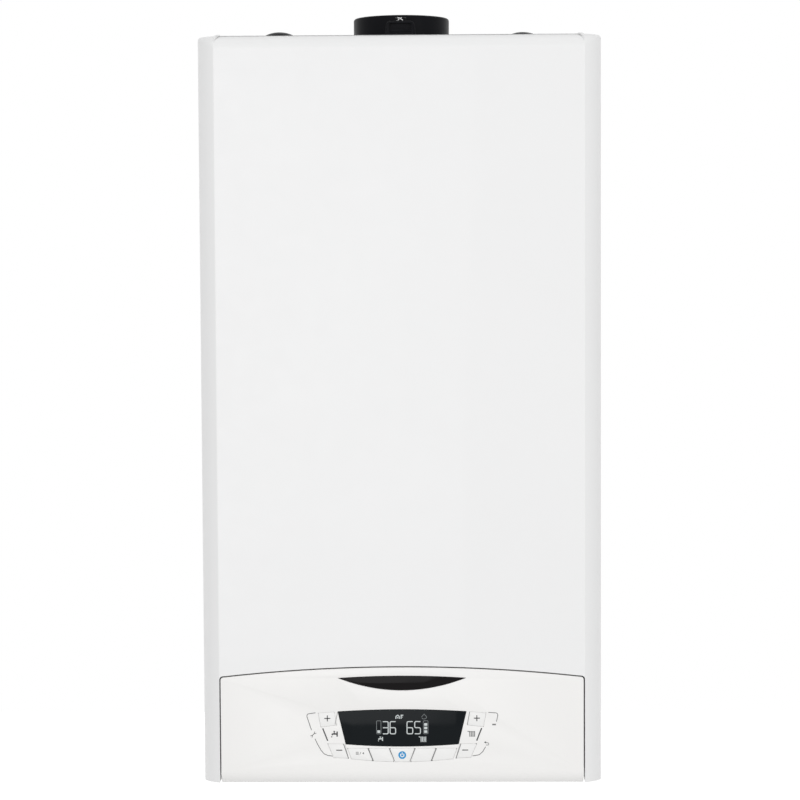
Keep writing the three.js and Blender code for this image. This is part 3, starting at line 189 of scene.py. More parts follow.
# ------------------------------------------------------------ materials

def noise(tree, scale, detail=3.0, stretch=(1.0, 1.0, 1.0)):
    """Noise in the piece's own coordinates, finer along some axes where stretched."""
    place = new_node(tree, "TexCoord")
    mapping = new_node(tree, "Mapping", {"Scale": stretch})
    texture = new_node(tree, "TexNoise", {"Scale": scale, "Detail": detail})
    tree.links.new(place.outputs["Object"], mapping.inputs["Vector"])
    tree.links.new(mapping.outputs["Vector"], texture.inputs["Vector"])
    return texture.outputs["Fac"]


def spread(tree, source, low, high):
    """A value that runs from low to high over the middle of a noise."""
    ramp = new_node(tree, "MapRange", {"From Min": 0.3, "From Max": 0.7, "To Min": low, "To Max": high})
    tree.links.new(source, ramp.inputs["Value"])
    return ramp.outputs["Result"]


def shade(colour, factor):
    return (*(min(1.0, channel * factor) for channel in colour), 1.0)


def finish(name, colour, roughness, grain, relief, change=0.03, metallic=0.0, coat=0.0,
           stretch=(1.0, 1.0, 1.0), specular=0.5, broad=9.0):
    """A surface with slight variation in colour and gloss, and a fine relief of its own scale."""
    material = bpy.data.materials.new(name)
    material.use_nodes = True
    tree = material.node_tree
    shader = tree.nodes["Principled BSDF"]
    for key, value in (("Base Color", (*colour, 1.0)), ("Roughness", roughness), ("Metallic", metallic),
                       ("Coat Weight", coat), ("Specular IOR Level", specular)):
        shader.inputs[key].default_value = value
    mix = new_node(tree, "Mix", {"A": shade(colour, 1.0 - change), "B": shade(colour, 1.0 + change)},
                   data_type="RGBA")
    tree.links.new(spread(tree, noise(tree, broad, 2.0), 0.0, 1.0), mix.inputs["Factor"])
    tree.links.new(mix.outputs["Result"], shader.inputs["Base Color"])
    gloss = spread(tree, noise(tree, 60.0, 4.0, stretch), roughness * 0.85, roughness * 1.15)
    tree.links.new(gloss, shader.inputs["Roughness"])
    bump = new_node(tree, "Bump", {"Strength": 0.35, "Distance": relief})
    tree.links.new(noise(tree, grain, 3.0, stretch), bump.inputs["Height"])
    tree.links.new(bump.outputs["Normal"], shader.inputs["Normal"])
    return material


BRUSHED = (1.0, 1.0, 14.0)
FINISHES = {                  # name, colour, roughness, grain, relief, change of colour
    "white_steel": ("powder_coat", (0.855, 0.856, 0.857), 0.42, 1400.0, 0.00002, 0.004),
    "white_plastic": ("white_plastic", (0.885, 0.878, 0.866), 0.38, 2200.0, 0.00001, 0.004),
    "key_plastic": ("key_plastic", (0.875, 0.872, 0.862), 0.5, 2600.0, 0.00001, 0.004),
    "black_gloss": ("black_gloss", (0.0030, 0.0018, 0.0022), 0.12, 900.0, 0.000002, 0.05),
    "display_glass": ("display_glass", (0.0020, 0.0042, 0.0058), 0.14, 900.0, 0.000002, 0.05),
    "black_plastic": ("black_plastic", (0.0060, 0.0062, 0.0078), 0.33, 2600.0, 0.00002, 0.12),
    "galvanised_steel": ("zinc", (0.56, 0.57, 0.58), 0.40, 500.0, 0.00001, 0.07),
    "stainless_steel": ("stainless", (0.60, 0.60, 0.61), 0.26, 700.0, 0.00001, 0.04),
    "cast_aluminium": ("cast_aluminium", (0.50, 0.51, 0.52), 0.52, 1100.0, 0.00008, 0.07),
    "brass": ("brass", (0.62, 0.44, 0.17), 0.30, 900.0, 0.00001, 0.06),
    "copper": ("copper", (0.66, 0.30, 0.17), 0.30, 700.0, 0.00001, 0.12),
    "grey_plastic": ("grey_plastic", (0.095, 0.10, 0.11), 0.5, 2200.0, 0.00002, 0.08),
    "red_paint": ("red_paint", (0.38, 0.022, 0.016), 0.35, 700.0, 0.00003, 0.05),
    "red_plastic": ("red_plastic", (0.42, 0.022, 0.016), 0.4, 2200.0, 0.00001, 0.04),
    "rubber": ("rubber", (0.011, 0.011, 0.012), 0.75, 2600.0, 0.00004, 0.15),
    "circuit_board": ("circuit_board", (0.02, 0.12, 0.05), 0.4, 900.0, 0.00002, 0.10),
    "print_light": ("display_light", (0.60, 0.64, 0.64), 0.5, 2600.0, 0.000002, 0.02),
    "print_dim": ("display_dim", (0.16, 0.175, 0.18), 0.5, 2600.0, 0.000002, 0.03),
    "print_dark": ("dark_print", (0.045, 0.045, 0.047), 0.5, 2600.0, 0.000002, 0.06),
    # The next finish is for printed signs and also for painted shade laid over the gaps round the keys.
    "print_grey": ("grey_print_and_gap_shade", (0.20, 0.20, 0.20), 0.5, 2600.0, 0.000002, 0.06),
    "print_blue": ("blue_print", (0.012, 0.27, 0.58), 0.4, 2600.0, 0.000002, 0.03),
    "print_white": ("white_print", (0.86, 0.86, 0.86), 0.5, 2600.0, 0.000002, 0.02),
}
MORE = {
    "white_steel": {"coat": 0.12}, "red_paint": {"coat": 0.3}, "circuit_board": {"coat": 0.3},
    "black_gloss": {"specular": 0.12}, "display_glass": {"specular": 0.12}, "black_plastic": {"specular": 0.05},
    "galvanised_steel": {"metallic": 1.0, "broad": 110.0}, "stainless_steel": {"metallic": 1.0, "stretch": BRUSHED},
    "cast_aluminium": {"metallic": 0.9}, "brass": {"metallic": 1.0},
    "copper": {"metallic": 1.0, "stretch": BRUSHED},
}
MATERIALS = {slot: finish(*values, **MORE.get(slot, {})) for slot, values in FINISHES.items()}
SLOT_OF = {
    "print_light": "display_glass", "print_dim": "display_glass", "print_dark": "black_plastic",
    "print_grey": "grey_plastic", "print_blue": "black_gloss", "print_white": "white_plastic",
}

# ------------------------------------------------------------ mesh helpers

SMOOTH_BELOW = math.radians(32)


@contextmanager
def edited(mesh, *sources):
    """Edits a mesh, or fills it from several others, each keeping its own surface."""
    work = bmesh.new()
    for source in sources or (mesh,):
        work.from_mesh(source)
    yield work
    work.to_mesh(mesh)
    work.free()


def add_piece(name, mesh, material, body, *nodes, angle=SMOOTH_BELOW):
    """A finished mesh as a piece of one body, standing for CAD nodes where they are named.

    It is shaded smooth, with the edges that turn by more than the angle kept sharp.
    """
    with edited(mesh) as work:
        for face in work.faces:
            face.smooth = True
        for edge in work.edges:
            edge.smooth = len(edge.link_faces) == 2 and edge.calc_face_angle(0.0) < angle
    mesh.materials.clear()
    mesh.materials.append(MATERIALS[material])
    piece = new_object(name, mesh)
    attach(piece, body)
    SLOT_OF.get(material, material)
    if nodes:
        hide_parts(*nodes)


def mesh_from(vertices, faces):
    mesh = bpy.data.meshes.new("shape")
    mesh.from_pydata(vertices, [], faces)
    with edited(mesh) as work:
        bmesh.ops.remove_doubles(work, verts=work.verts, dist=1e-7)
        bmesh.ops.recalc_face_normals(work, faces=work.faces)
    return mesh


def with_modifiers(mesh, *settings):
    """The mesh after modifiers, each given as its type and a dictionary of its settings."""
    holder = new_object("holder", mesh)
    for kind, values in settings:
        modifier = holder.modifiers.new(kind.lower(), kind)
        for key, value in values.items():
            setattr(modifier, key, value)
    graph = bpy.context.evaluated_depsgraph_get()
    result = bpy.data.meshes.new_from_object(holder.evaluated_get(graph))
    bpy.data.objects.remove(holder)
    return result


def rounded(mesh, width, segments=2, angle=35):
    """The mesh with the edges that turn by more than an angle in degrees rounded, by a width in millimetres."""
    return with_modifiers(mesh, ("BEVEL", {"width": width * MM, "segments": segments, "limit_method": "ANGLE",
                                           "angle_limit": math.radians(angle), "use_clamp_overlap": True}))


def cut_by(mesh, *cutters, operation="DIFFERENCE"):
    """The mesh less other closed meshes, or only what it shares with them."""
    for cutter in cutters:
        tool = new_object("tool", cutter)
        mesh = with_modifiers(mesh, ("BOOLEAN", {"object": tool, "operation": operation, "solver": "EXACT"}))
        bpy.data.objects.remove(tool)
    return mesh


def joined(*meshes):
    result = bpy.data.meshes.new("joined")
    with edited(result, *meshes):
        pass
    return result


def prism(front, back):
    """A closed solid between two outlines of as many points."""
    count = len(front)
    faces = [tuple(range(count)), tuple(range(2 * count - 1, count - 1, -1))]
    faces += [(i, (i + 1) % count, count + (i + 1) % count, count + i) for i in range(count)]
    return mesh_from(front + back, faces)


def outline_prism(points, y_front, y_back):
    """A closed outline in X and Z, given a depth along Y."""
    return prism([(x, y_front, z) for x, z in points], [(x, y_back, z) for x, z in points])


def lathe(profile, centre, segments=96, axis="Z"):
    """A profile of (radius, height) turned about an axis; it starts and ends on the axis or closes on itself."""
    vertices, faces = [], []
    rows = len(profile)
    for step in range(segments):
        turn = 2 * math.pi * step / segments
        for radius, height in profile:
            across = (radius * math.cos(turn), radius * math.sin(turn))
            if axis == "Z":
                vertices.append((centre[0] + across[0], centre[1] + across[1], height))
            else:
                vertices.append((centre[0] + across[0], height, centre[1] + across[1]))
    for step in range(segments):
        here, there = step * rows, ((step + 1) % segments) * rows
        faces += [(here + i, there + i, there + i + 1, here + i + 1) for i in range(rows - 1)]
    mesh = mesh_from(vertices, faces)
    with edited(mesh) as work:
        bmesh.ops.dissolve_degenerate(work, edges=work.edges, dist=1e-8)
    return mesh


def fillet(points, radii, steps=6, closed=True):
    """A polyline whose corners are rounded by the given radii, one for each point."""
    result = []
    count = len(points)
    for i, (point, radius) in enumerate(zip(points, radii)):
        if radius <= 0 or (not closed and i in (0, count - 1)):
            result.append(tuple(point))
            continue
        here = Vector(point)
        before = (Vector(points[i - 1]) - here).normalized()
        after = (Vector(points[(i + 1) % count]) - here).normalized()
        half = before.angle(after) / 2
        reach = radius / math.tan(half)
        centre = here + (before + after).normalized() * (radius / math.sin(half))
        start = here + before * reach - centre
        end = here + after * reach - centre
        sweep = start.angle(end)
        for step in range(steps + 1):
            share = step / steps
            arm = (start * math.sin((1 - share) * sweep) + end * math.sin(share * sweep)) / math.sin(sweep)
            result.append(tuple(centre + arm))
    return result


def box_mesh(low, high):
    (x0, y0, z0), (x1, y1, z1) = low, high
    vertices = [(x, y, z) for z in (z0, z1) for y in (y0, y1) for x in (x0, x1)]
    faces = [(0, 2, 3, 1), (4, 5, 7, 6), (0, 1, 5, 4), (1, 3, 7, 5), (3, 2, 6, 7), (2, 0, 4, 6)]
    return mesh_from(vertices, faces)


def node_mesh(node):
    """A copy of a CAD node's mesh with its flat faces made whole again."""
    mesh = bpy.data.meshes.new(node)
    with edited(mesh, frame["nodes"][node].data) as work:
        bmesh.ops.remove_doubles(work, verts=work.verts, dist=1e-6)
        bmesh.ops.dissolve_limit(work, angle_limit=math.radians(0.6), verts=work.verts, edges=work.edges)
    return mesh


def softened(node, width, segments=2):
    """A CAD node's mesh with its edges rounded, as the real piece's are, by a width in millimetres."""
    return rounded(node_mesh(node), width, segments)


def body_of_node(node):
    return next(body for body, members in frame["record"]["behaviour"]["bodies"].items() if node in members)


def slot_of_node(node):
    return next(part["material_slot"] for part in frame["record"]["subparts"] if part["node"] == node)


def dressed(node, width, segments=2, *extras, name=None):
    """A CAD node with its edges rounded, and any extra meshes on it."""
    mesh = joined(softened(node, width, segments), *extras)
    add_piece(name or f"{node}_fine", mesh, slot_of_node(node), body_of_node(node), node)


# ------------------------------------------------------------ front cover

SHEET = 1.2 * MM
CREASE_X = 182.3 * MM
STRIP_BACK = 26.0 * MM       # where the angled strip meets the side
STRIP_BULGE = 5.0 * MM
STRIP_RADIUS = 41.0 * MM
STRIP_FOOT_RISE = 2.2 * MM    # at the crease
COVER_HALF = HALF_WIDTH - 0.05 * MM
CREASE_RADIUS = 2.0 * MM
BEND_RADIUS = 4.0 * MM
TOP_RADIUS = 14.0 * MM
CORNER_RADIUS = 3.6 * MM
SIDE_TOP_RADIUS = 1.5 * MM
SEAM = 1.4 * MM
ARCH_SHOULDER = ARCH_TOP - 10.2 * MM
SHOULDER_RADIUS = 2.4 * MM
EDGE_FOLD = 40.0 * MM         # of the cover, back along the panel's sides


def cover_section():
    """Half of the cover seen from above, from its middle to its rear edge, with the top radius at each point."""
    bend = FRONT + STRIP_BACK
    along = Vector((COVER_HALF - CREASE_X, STRIP_BACK)).normalized()
    out = Vector((along.y, -along.x))
    middle = Vector(((CREASE_X + COVER_HALF) / 2, FRONT + STRIP_BACK / 2)) + out * STRIP_BULGE
    corners = [(0.0, FRONT), (CREASE_X, FRONT), tuple(middle), (COVER_HALF, bend), (COVER_HALF, COVER_BACK)]
    path = fillet(corners, [0, CREASE_RADIUS, STRIP_RADIUS, BEND_RADIUS, 0], steps=10, closed=False)
    points = []
    for i, (x, y) in enumerate(path):
        before, after = path[max(i - 1, 0)], path[min(i + 1, len(path) - 1)]
        run = Vector((after[0] - before[0], after[1] - before[1])).normalized()
        if x < CREASE_X - CREASE_RADIUS:
            radius = TOP_RADIUS
        elif y < bend:
            share = (y - FRONT) / STRIP_BACK
            radius = TOP_RADIUS + (CORNER_RADIUS - TOP_RADIUS) * min(1.0, share) ** 0.5
        else:
            share = (y - bend) / (COVER_BACK - bend)
            radius = CORNER_RADIUS + (SIDE_TOP_RADIUS - CORNER_RADIUS) * share
        points.append(((x, y), (run.y, -run.x), radius))
    return points


def arch_outline(margin, foot):
    """The control panel's outline, moved outwards by a margin, from its foot up to its arched top."""
    half = FASCIA_HALF + margin
    rise = ARCH_TOP - ARCH_SHOULDER
    big = (FASCIA_HALF ** 2 + rise ** 2) / (2 * rise)

    def top(x):
        return ARCH_TOP + margin - big + math.sqrt(big ** 2 - min(abs(x), FASCIA_HALF) ** 2)

    corner = SHOULDER_RADIUS + margin
    steps = 48
    arch = []
    for i in range(steps + 1):
        x = half - 2 * half * i / steps
        arch.append((x, top(x)))
    points = [(-half, foot), (half, foot), *arch]
    radii = [0, 0, corner, *[0] * (steps - 1), corner]
    keep = [0, 1, 2] + [i for i in range(3, len(points) - 1) if abs(points[i][0]) < half - corner] + [len(points) - 1]
    return fillet([points[i] for i in keep], [radii[i] for i in keep], steps=8)


def make_cover():
    section = cover_section()
    right = section[1:]
    loop = [((-x, y), (-nx, ny), r) for (x, y), (nx, ny), r in reversed(right)] + section[:1] + right
    rows = 10
    vertices, faces = [], []
    for (x, y), (nx, ny), radius in loop:
        forward = max(0.0, 1.0 - (y - FRONT) / STRIP_BACK)
        vertices.append((x, y, FOOT + STRIP_FOOT_RISE * forward))
        for step in range(rows + 1):
            turn = math.pi / 2 * step / rows
            inset = radius * (1 - math.cos(turn))
            back = min(y - ny * inset, COVER_BACK)
            vertices.append((x - nx * inset, back, TOP - radius + radius * math.sin(turn)))
    height = rows + 2
    for i in range(len(loop) - 1):
        here, there = i * height, (i + 1) * height
        faces += [(here + k, there + k, there + k + 1, here + k + 1) for k in range(height - 1)]
    faces.append(tuple(i * height + height - 1 for i in range(len(loop))))
    shell = with_modifiers(mesh_from(vertices, faces), ("SOLIDIFY", {"thickness": SHEET, "offset": -1.0}))
    opening = outline_prism(arch_outline(SEAM, FOOT - 0.01), FRONT - 0.005, FRONT + STRIP_BACK)
    shell = cut_by(shell, opening)
    fold = FASCIA_HALF + SEAM
    folds = [rounded(box_mesh((left, FRONT + 0.9 * MM, FOOT + STRIP_FOOT_RISE),
                              (right, FRONT + EDGE_FOLD, ARCH_SHOULDER)), 0.3)
             for left, right in ((-(fold + SHEET), -fold), (fold, fold + SHEET))]
    add_piece("cover_shell", joined(shell, *folds, *cover_tabs()), "white_steel", "cover", "front_cover",
              angle=math.radians(24))


def cover_tabs():
    """The two screwed tabs inside the cover's foot."""
    for side in ("left", "right"):
        low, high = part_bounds(f"cover_screw_{side}")
        x, z = (low[0] + high[0]) / 2, (low[2] + high[2]) / 2
        reach = HALF_WIDTH - SHEET - abs(x)
        left, right = (x - 4.5 * MM, x + reach) if x > 0 else (x - reach, x + 4.5 * MM)
        plate = box_mesh((left, COVER_BACK - SHEET, z - 15 * MM), (right, COVER_BACK, z + 15 * MM))
        hole = lathe([(0, COVER_BACK - 0.01), (2.4 * MM, COVER_BACK - 0.01), (2.4 * MM, COVER_BACK + 0.01),
                      (0, COVER_BACK + 0.01)], (x, z), 24, "Y")
        yield cut_by(plate, hole)


# ------------------------------------------------------------ control panel

FACE = FRONT + 0.1 * MM      # face of the panel; the printed marks, and the painted shade over the key gaps, lie in this tenth
PANEL_WALL = 2.2 * MM
FOOT_RADIUS = 13.5 * MM
PANEL_ZERO = 3.4             # the panel's drawing starts this far above the casing's foot, in millimetres
WINDOW = {"top_half": 64.1, "foot_half": 56.2, "top": 70.4, "foot": 37.6, "top_bow": 2.1, "foot_bow": 2.3}
BADGE = {"half": 64.0, "tip": 104.3, "top": 106.3, "bottom": 91.8}
KEY_HOLE = 0.14              # a key's hole outside its outline, and its cap inside it, in millimetres
KEY_INSET = 0.02
PLUS_KEY = [(65.2, 56.8), (81.2, 54.9), (83.8, 69.0), (67.7, 70.1)]
MINUS_KEY = [(53.7, 23.4), (68.4, 24.0), (74.6, 38.1), (57.4, 37.7)]
ROW_TOP_X = [12.9, 34.1, 55.2]
ROW_FOOT_X = [7.7, 29.0, 51.4]
ROW_TOP_Z = 33.4
ROW_FOOT_Z = [19.7, 20.6, 22.6]
KEY_SPACE = 0.5


def mirrored(points):
    return [(-x, z) for x, z in reversed(points)]


def row_key(index):
    left_foot, right_foot = ROW_FOOT_X[index - 1] + KEY_SPACE, ROW_FOOT_X[index] - KEY_SPACE
    left_top, right_top = ROW_TOP_X[index - 1] + KEY_SPACE, ROW_TOP_X[index] - KEY_SPACE
    return [(left_foot, ROW_FOOT_Z[index - 1]), (right_foot, ROW_FOOT_Z[index]),
            (right_top, ROW_TOP_Z), (left_top, ROW_TOP_Z)]


def power_key():
    foot, top = ROW_FOOT_X[0] - KEY_SPACE, ROW_TOP_X[0] - KEY_SPACE
    return [(-foot, ROW_FOOT_Z[0]), (foot, ROW_FOOT_Z[0]), (top, ROW_TOP_Z), (-top, ROW_TOP_Z)]


KEYS = {
    "key_dhw_up": mirrored(PLUS_KEY),
    "key_dhw_down": mirrored(MINUS_KEY),
    "key_menu": mirrored(row_key(2)),
    "key_comfort": mirrored(row_key(1)),
    "key_power": power_key(),
    "key_auto": row_key(1),
    "key_reset": row_key(2),
    "key_heat_up": PLUS_KEY,
    "key_heat_down": MINUS_KEY,
}


def bow(start, end, middle_z, steps=24):
    """Points on a parabola from start to end whose middle is at the given height; the end is left out."""
    points = []
    for step in range(steps):
        share = step / steps
        x = start[0] + (end[0] - start[0]) * share
        z = start[1] + (end[1] - start[1]) * share
        lift = middle_z - (start[1] + end[1]) / 2
        points.append((x, z + 4 * lift * share * (1 - share)))
    return points


def window_outline(margin):
    w = WINDOW
    top, foot = w["top"] + margin, w["foot"] - margin
    foot_half, top_half = w["foot_half"] + margin, w["top_half"] + margin
    low = bow((-foot_half, foot), (foot_half, foot), foot - w["foot_bow"])
    high = bow((top_half, top), (-top_half, top), top + w["top_bow"])
    return [*low, (foot_half, foot), *high, (-top_half, top)]


def badge_outline(margin):
    half = BADGE["half"] + 2 * margin
    low = bow((-half, BADGE["tip"]), (half, BADGE["tip"]), BADGE["bottom"] - margin)
    high = bow((half, BADGE["tip"]), (-half, BADGE["tip"]), BADGE["top"] + margin)
    return low + high


def shifted(points, margin):
    """A convex anticlockwise outline with each side moved outwards."""
    lines = []
    for i, (x, z) in enumerate(points):
        next_x, next_z = points[(i + 1) % len(points)]
        run = Vector((next_x - x, next_z - z)).normalized()
        lines.append((Vector((x, z)) + Vector((run.y, -run.x)) * margin, run))
    moved = []
    for i, (place, run) in enumerate(lines):
        before, before_run = lines[i - 1]
        gap = place - before
        along = (gap.x * run.y - gap.y * run.x) / (before_run.x * run.y - before_run.y * run.x)
        moved.append(tuple(before + before_run * along))
    return moved


def on_panel(points):
    return [at(x, z + PANEL_ZERO) for x, z in points]


def panel_body():
    """The panel's shell: an arched plate with a rounded foot, 2.2 mm thick, open at the back."""
    def block(margin, front, back, foot, radius):
        plate = outline_prism(arch_outline(-margin, foot), front, back)
        side = [(front, foot + radius), (front, ARCH_TOP + 0.01), (back, ARCH_TOP + 0.01), (back, foot)]
        arc = [(front + radius * (1 - math.cos(t)), foot + radius * (1 - math.sin(t)))
               for t in [math.pi / 2 * k / 16 for k in range(1, 17)]]
        profile = [*side, *reversed(arc)]
        sides = ([(x, y, z) for y, z in profile] for x in (-HALF_WIDTH, HALF_WIDTH))
        return cut_by(plate, prism(*sides), operation="INTERSECT")

    outer = block(0.0, FACE, FASCIA_BACK, FASCIA_LOW[2], FOOT_RADIUS)
    inner = block(PANEL_WALL, FACE + PANEL_WALL, FASCIA_BACK + 0.01, FASCIA_LOW[2] + PANEL_WALL,
                  FOOT_RADIUS - PANEL_WALL)
    through = (FACE - 0.01, FACE + PANEL_WALL + 0.001)
    holes = [outline_prism(on_panel(shifted(key, KEY_HOLE)), *through) for key in KEYS.values()]
    holes.append(outline_prism(on_panel(window_outline(0.3)), *through))
    holes.append(outline_prism(on_panel(badge_outline(0.3)), FACE - 0.01, FACE + 1.0 * MM))
    return cut_by(outer, inner, *holes)


def make_panel():
    shell = rounded(panel_body(), 0.35, 2, 50)
    add_piece("panel_shell", shell, "white_plastic", "control_panel", "fascia")
    badge = rounded(outline_prism(on_panel(badge_outline(0.0)), FACE, FACE + 0.9 * MM), 0.25, 2, 60)
    add_piece("panel_inset", badge, "black_gloss", "control_panel", "badge_insert")
    window = rounded(outline_prism(on_panel(window_outline(0.0)), FACE, FACE + PANEL_WALL), 0.45, 3, 50)
    add_piece("display_window", window, "display_glass", "control_panel", "display_lens")


def make_keys():
    for name, outline in KEYS.items():
        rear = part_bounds(name)[1][1]
        corners = fillet(on_panel(shifted(outline, -KEY_INSET)), [0.9 * MM] * 4, 4)
        cap = rounded(outline_prism(corners, FACE, FACE + 4.0 * MM), 0.3, 2, 60)
        middle = [sum(p[k] for p in corners) / len(corners) for k in (0, 1)]
        stem = lathe([(0, FACE + 3.5 * MM), (2.0 * MM, FACE + 3.5 * MM), (2.0 * MM, rear), (0, rear)],
                     middle, 20, "Y")
        add_piece(f"{name}_cap", joined(cap, stem), "key_plastic", name, name)


# ------------------------------------------------------------ printed marks, painted shade over the key gaps, and display

# The slab for print also holds the painted shade laid over the gaps round the keys.
MARK_FRONT = FRONT + 0.02 * MM
MARK_BACK = FACE + 0.05 * MM
SIGN_SIZE = 6.0
SIGN_STROKE = 0.95
SIGNS = {"plus": (74.6, 63.6), "minus": (62.9, 31.5)}
LINE_STROKE = 0.75
DIGIT_STROKE = 0.95
DIGIT_FOOT, DIGIT_TOP = 48.0, 60.3


def mark_prism(points):
    return outline_prism(on_panel(points), MARK_FRONT, MARK_BACK)


def ribbon(points, width, corner=0.0, steps=5):
    """A flat line of even width along points in millimetres, with rounded corners where asked, for print and for
    painted shade over the key gaps.
    """
    if corner:
        radii = [0.0] + [corner] * (len(points) - 2) + [0.0]
        points = fillet(points, radii, steps, closed=False)
    left, right = [], []
    for i, point in enumerate(points):
        here = Vector(point)
        before = (here - Vector(points[i - 1])).normalized() if i else None
        after = (Vector(points[i + 1]) - here).normalized() if i < len(points) - 1 else None
        run = ((before or after) + (after or before)).normalized()
        stretch = 1.0 / max(0.3, run.dot(before or after))
        side = Vector((-run.y, run.x)) * (width / 2 * stretch)
        left.append(tuple(here + side))
        right.append(tuple(here - side))
    return mark_prism(left + right[::-1])


def disc(centre, radius, steps=40):
    turns = [2 * math.pi * k / steps for k in range(steps)]
    return mark_prism([(centre[0] + radius * math.cos(t), centre[1] + radius * math.sin(t)) for t in turns])


def arc(centre, radius, start, end, steps=24):
    """Points on an arc, with its angles in degrees."""
    turns = [math.radians(start + (end - start) * k / steps) for k in range(steps + 1)]
    return [(centre[0] + radius * math.cos(t), centre[1] + radius * math.sin(t)) for t in turns]


def flipped(points, way):
    return [(way * x, z) for x, z in points]


def tap_icon(centre, size):
    """A tap seen from the side: flange, body, spout, handle and a drop."""
    def place(points):
        return [(centre[0] + x * size, centre[1] + z * size) for x, z in points]

    return [
        ribbon(place([(0.42, 0.42), (0.42, -0.42)]), size * 0.22),
        ribbon(place([(0.36, 0.02), (-0.3, 0.02), (-0.42, -0.16)]), size * 0.24),
        ribbon(place([(-0.05, 0.1), (-0.05, 0.44)]), size * 0.16),
        ribbon(place([(-0.2, 0.44), (0.1, 0.44)]), size * 0.14),
        disc(place([(-0.46, -0.44)])[0], size * 0.1, 12),
    ]


def radiator_icon(centre, size):
    """Four ribs of a radiator between its two pipes, with a valve at its top left."""
    x, z = centre
    ribs = [ribbon([(x + size * step, z - 0.42 * size), (x + size * step, z + 0.42 * size)], size * 0.145)
            for step in (-0.27, -0.03, 0.21, 0.45)]
    pipes = [ribbon([(x - 0.3 * size, z + size * rise), (x + 0.46 * size, z + size * rise)], size * 0.05)
             for rise in (-0.34, 0.34)]
    valve = ribbon([(x - 0.62 * size, z + 0.4 * size), (x - 0.3 * size, z + 0.34 * size)], size * 0.12)
    return [*ribs, *pipes, valve]


def digit(character, left, right):
    """A seven-segment figure with rounded corners, drawn as one line, with a middle bar where it needs one."""
    middle = (DIGIT_FOOT + DIGIT_TOP) / 2
    foot, top = DIGIT_FOOT, DIGIT_TOP
    lines = {
        "3": [[(left, top), (right, top), (right, foot), (left, foot)], [(left, middle), (right - 0.3, middle)]],
        "5": [[(right, top), (left, top), (left, middle), (right, middle), (right, foot), (left, foot)]],
        "6": [[(right, top), (left, top), (left, foot), (right, foot), (right, middle), (left + 0.3, middle)]],
    }
    return [ribbon(line, DIGIT_STROKE, 1.4 if len(line) > 2 else 0.0) for line in lines[character]]


def gauge(left, right, bars):
    """An outlined column with some of its bars lit."""
    foot, top = DIGIT_FOOT, DIGIT_TOP + 0.8
    rim = [(left, foot), (right, foot), (right, top), (left, top), (left, foot + 0.5)]
    pitch = 3.6
    lit = []
    for i in range(bars):
        low = foot + 0.9 + i * pitch
        lit.append(ribbon([((left + right) / 2, low), ((left + right) / 2, low + pitch * 0.72)], right - left - 1.6))
    return ribbon(rim, 0.55, 0.9), lit


def chimney_icon():
    """The small sign above the figures: a roof with a dot, and a flue's bend."""
    roof = ribbon([(-6.3, 63.2), (-6.1, 65.4), (-4.4, 67.0), (-2.9, 65.6), (-2.7, 63.2)], 1.0, 0.6)
    flue = ribbon([(-0.9, 63.2), (-0.9, 66.7), (1.2, 66.7)], 1.0)
    return [roof, disc((-4.4, 64.2), 0.65, 12), flue, ribbon([(-0.9, 64.9), (0.6, 64.9)], 0.7)]


def make_display_marks():
    bright = digit("3", -19.2, -13.9) + digit("6", -12.0, -6.5) + digit("6", 4.9, 10.6) + digit("5", 12.6, 18.3)
    dim = []
    for left, right, bars in ((-25.5, -21.1, 1), (21.2, 25.9, 3)):
        rim, lit = gauge(left, right, bars)
        dim.append(rim)
        bright += lit
    bright += tap_icon((-21.6, 42.9), 4.6)
    bright += radiator_icon((20.6, 42.4), 6.4)
    bright += chimney_icon()
    flame = [(19.4, 64.6), (20.4, 66.2), (22.2, 67.9), (22.9, 66.6), (24.2, 65.6), (24.4, 64.2), (23.3, 63.0),
             (21.0, 62.9), (19.6, 63.8)]
    dim.append(ribbon(flame, 0.5))
    add_piece("display_figures", joined(*bright), "print_light", "control_panel")
    add_piece("display_outlines", joined(*dim), "print_dim", "control_panel")


def make_signs():
    x, z = SIGNS["plus"]
    half = SIGN_SIZE / 2
    for side, name in ((-1, "dhw"), (1, "heat")):
        plus = [ribbon([(side * x - half, z), (side * x + half, z)], SIGN_STROKE),
                ribbon([(side * x, z - half), (side * x, z + half)], SIGN_STROKE)]
        add_piece(f"plus_sign_{name}", joined(*plus), "print_dark", f"key_{name}_up")
        minus_x, minus_z = SIGNS["minus"]
        minus = ribbon([(side * minus_x - half, minus_z), (side * minus_x + half, minus_z)], SIGN_STROKE)
        add_piece(f"minus_sign_{name}", minus, "print_dark", f"key_{name}_down")


def make_power_symbol():
    centre = (0.0, 26.5)
    add_piece("power_disc", disc(centre, 3.9, 48), "print_blue", "key_power")
    raised = joined(ribbon(arc(centre, 1.7, 130, 410, 28), 0.9), ribbon([(0.0, 26.9), (0.0, 29.2)], 0.8))
    for vertex in raised.vertices:
        vertex.co.y -= 0.015 * MM
    add_piece("power_symbol", raised, "print_white", "key_power")


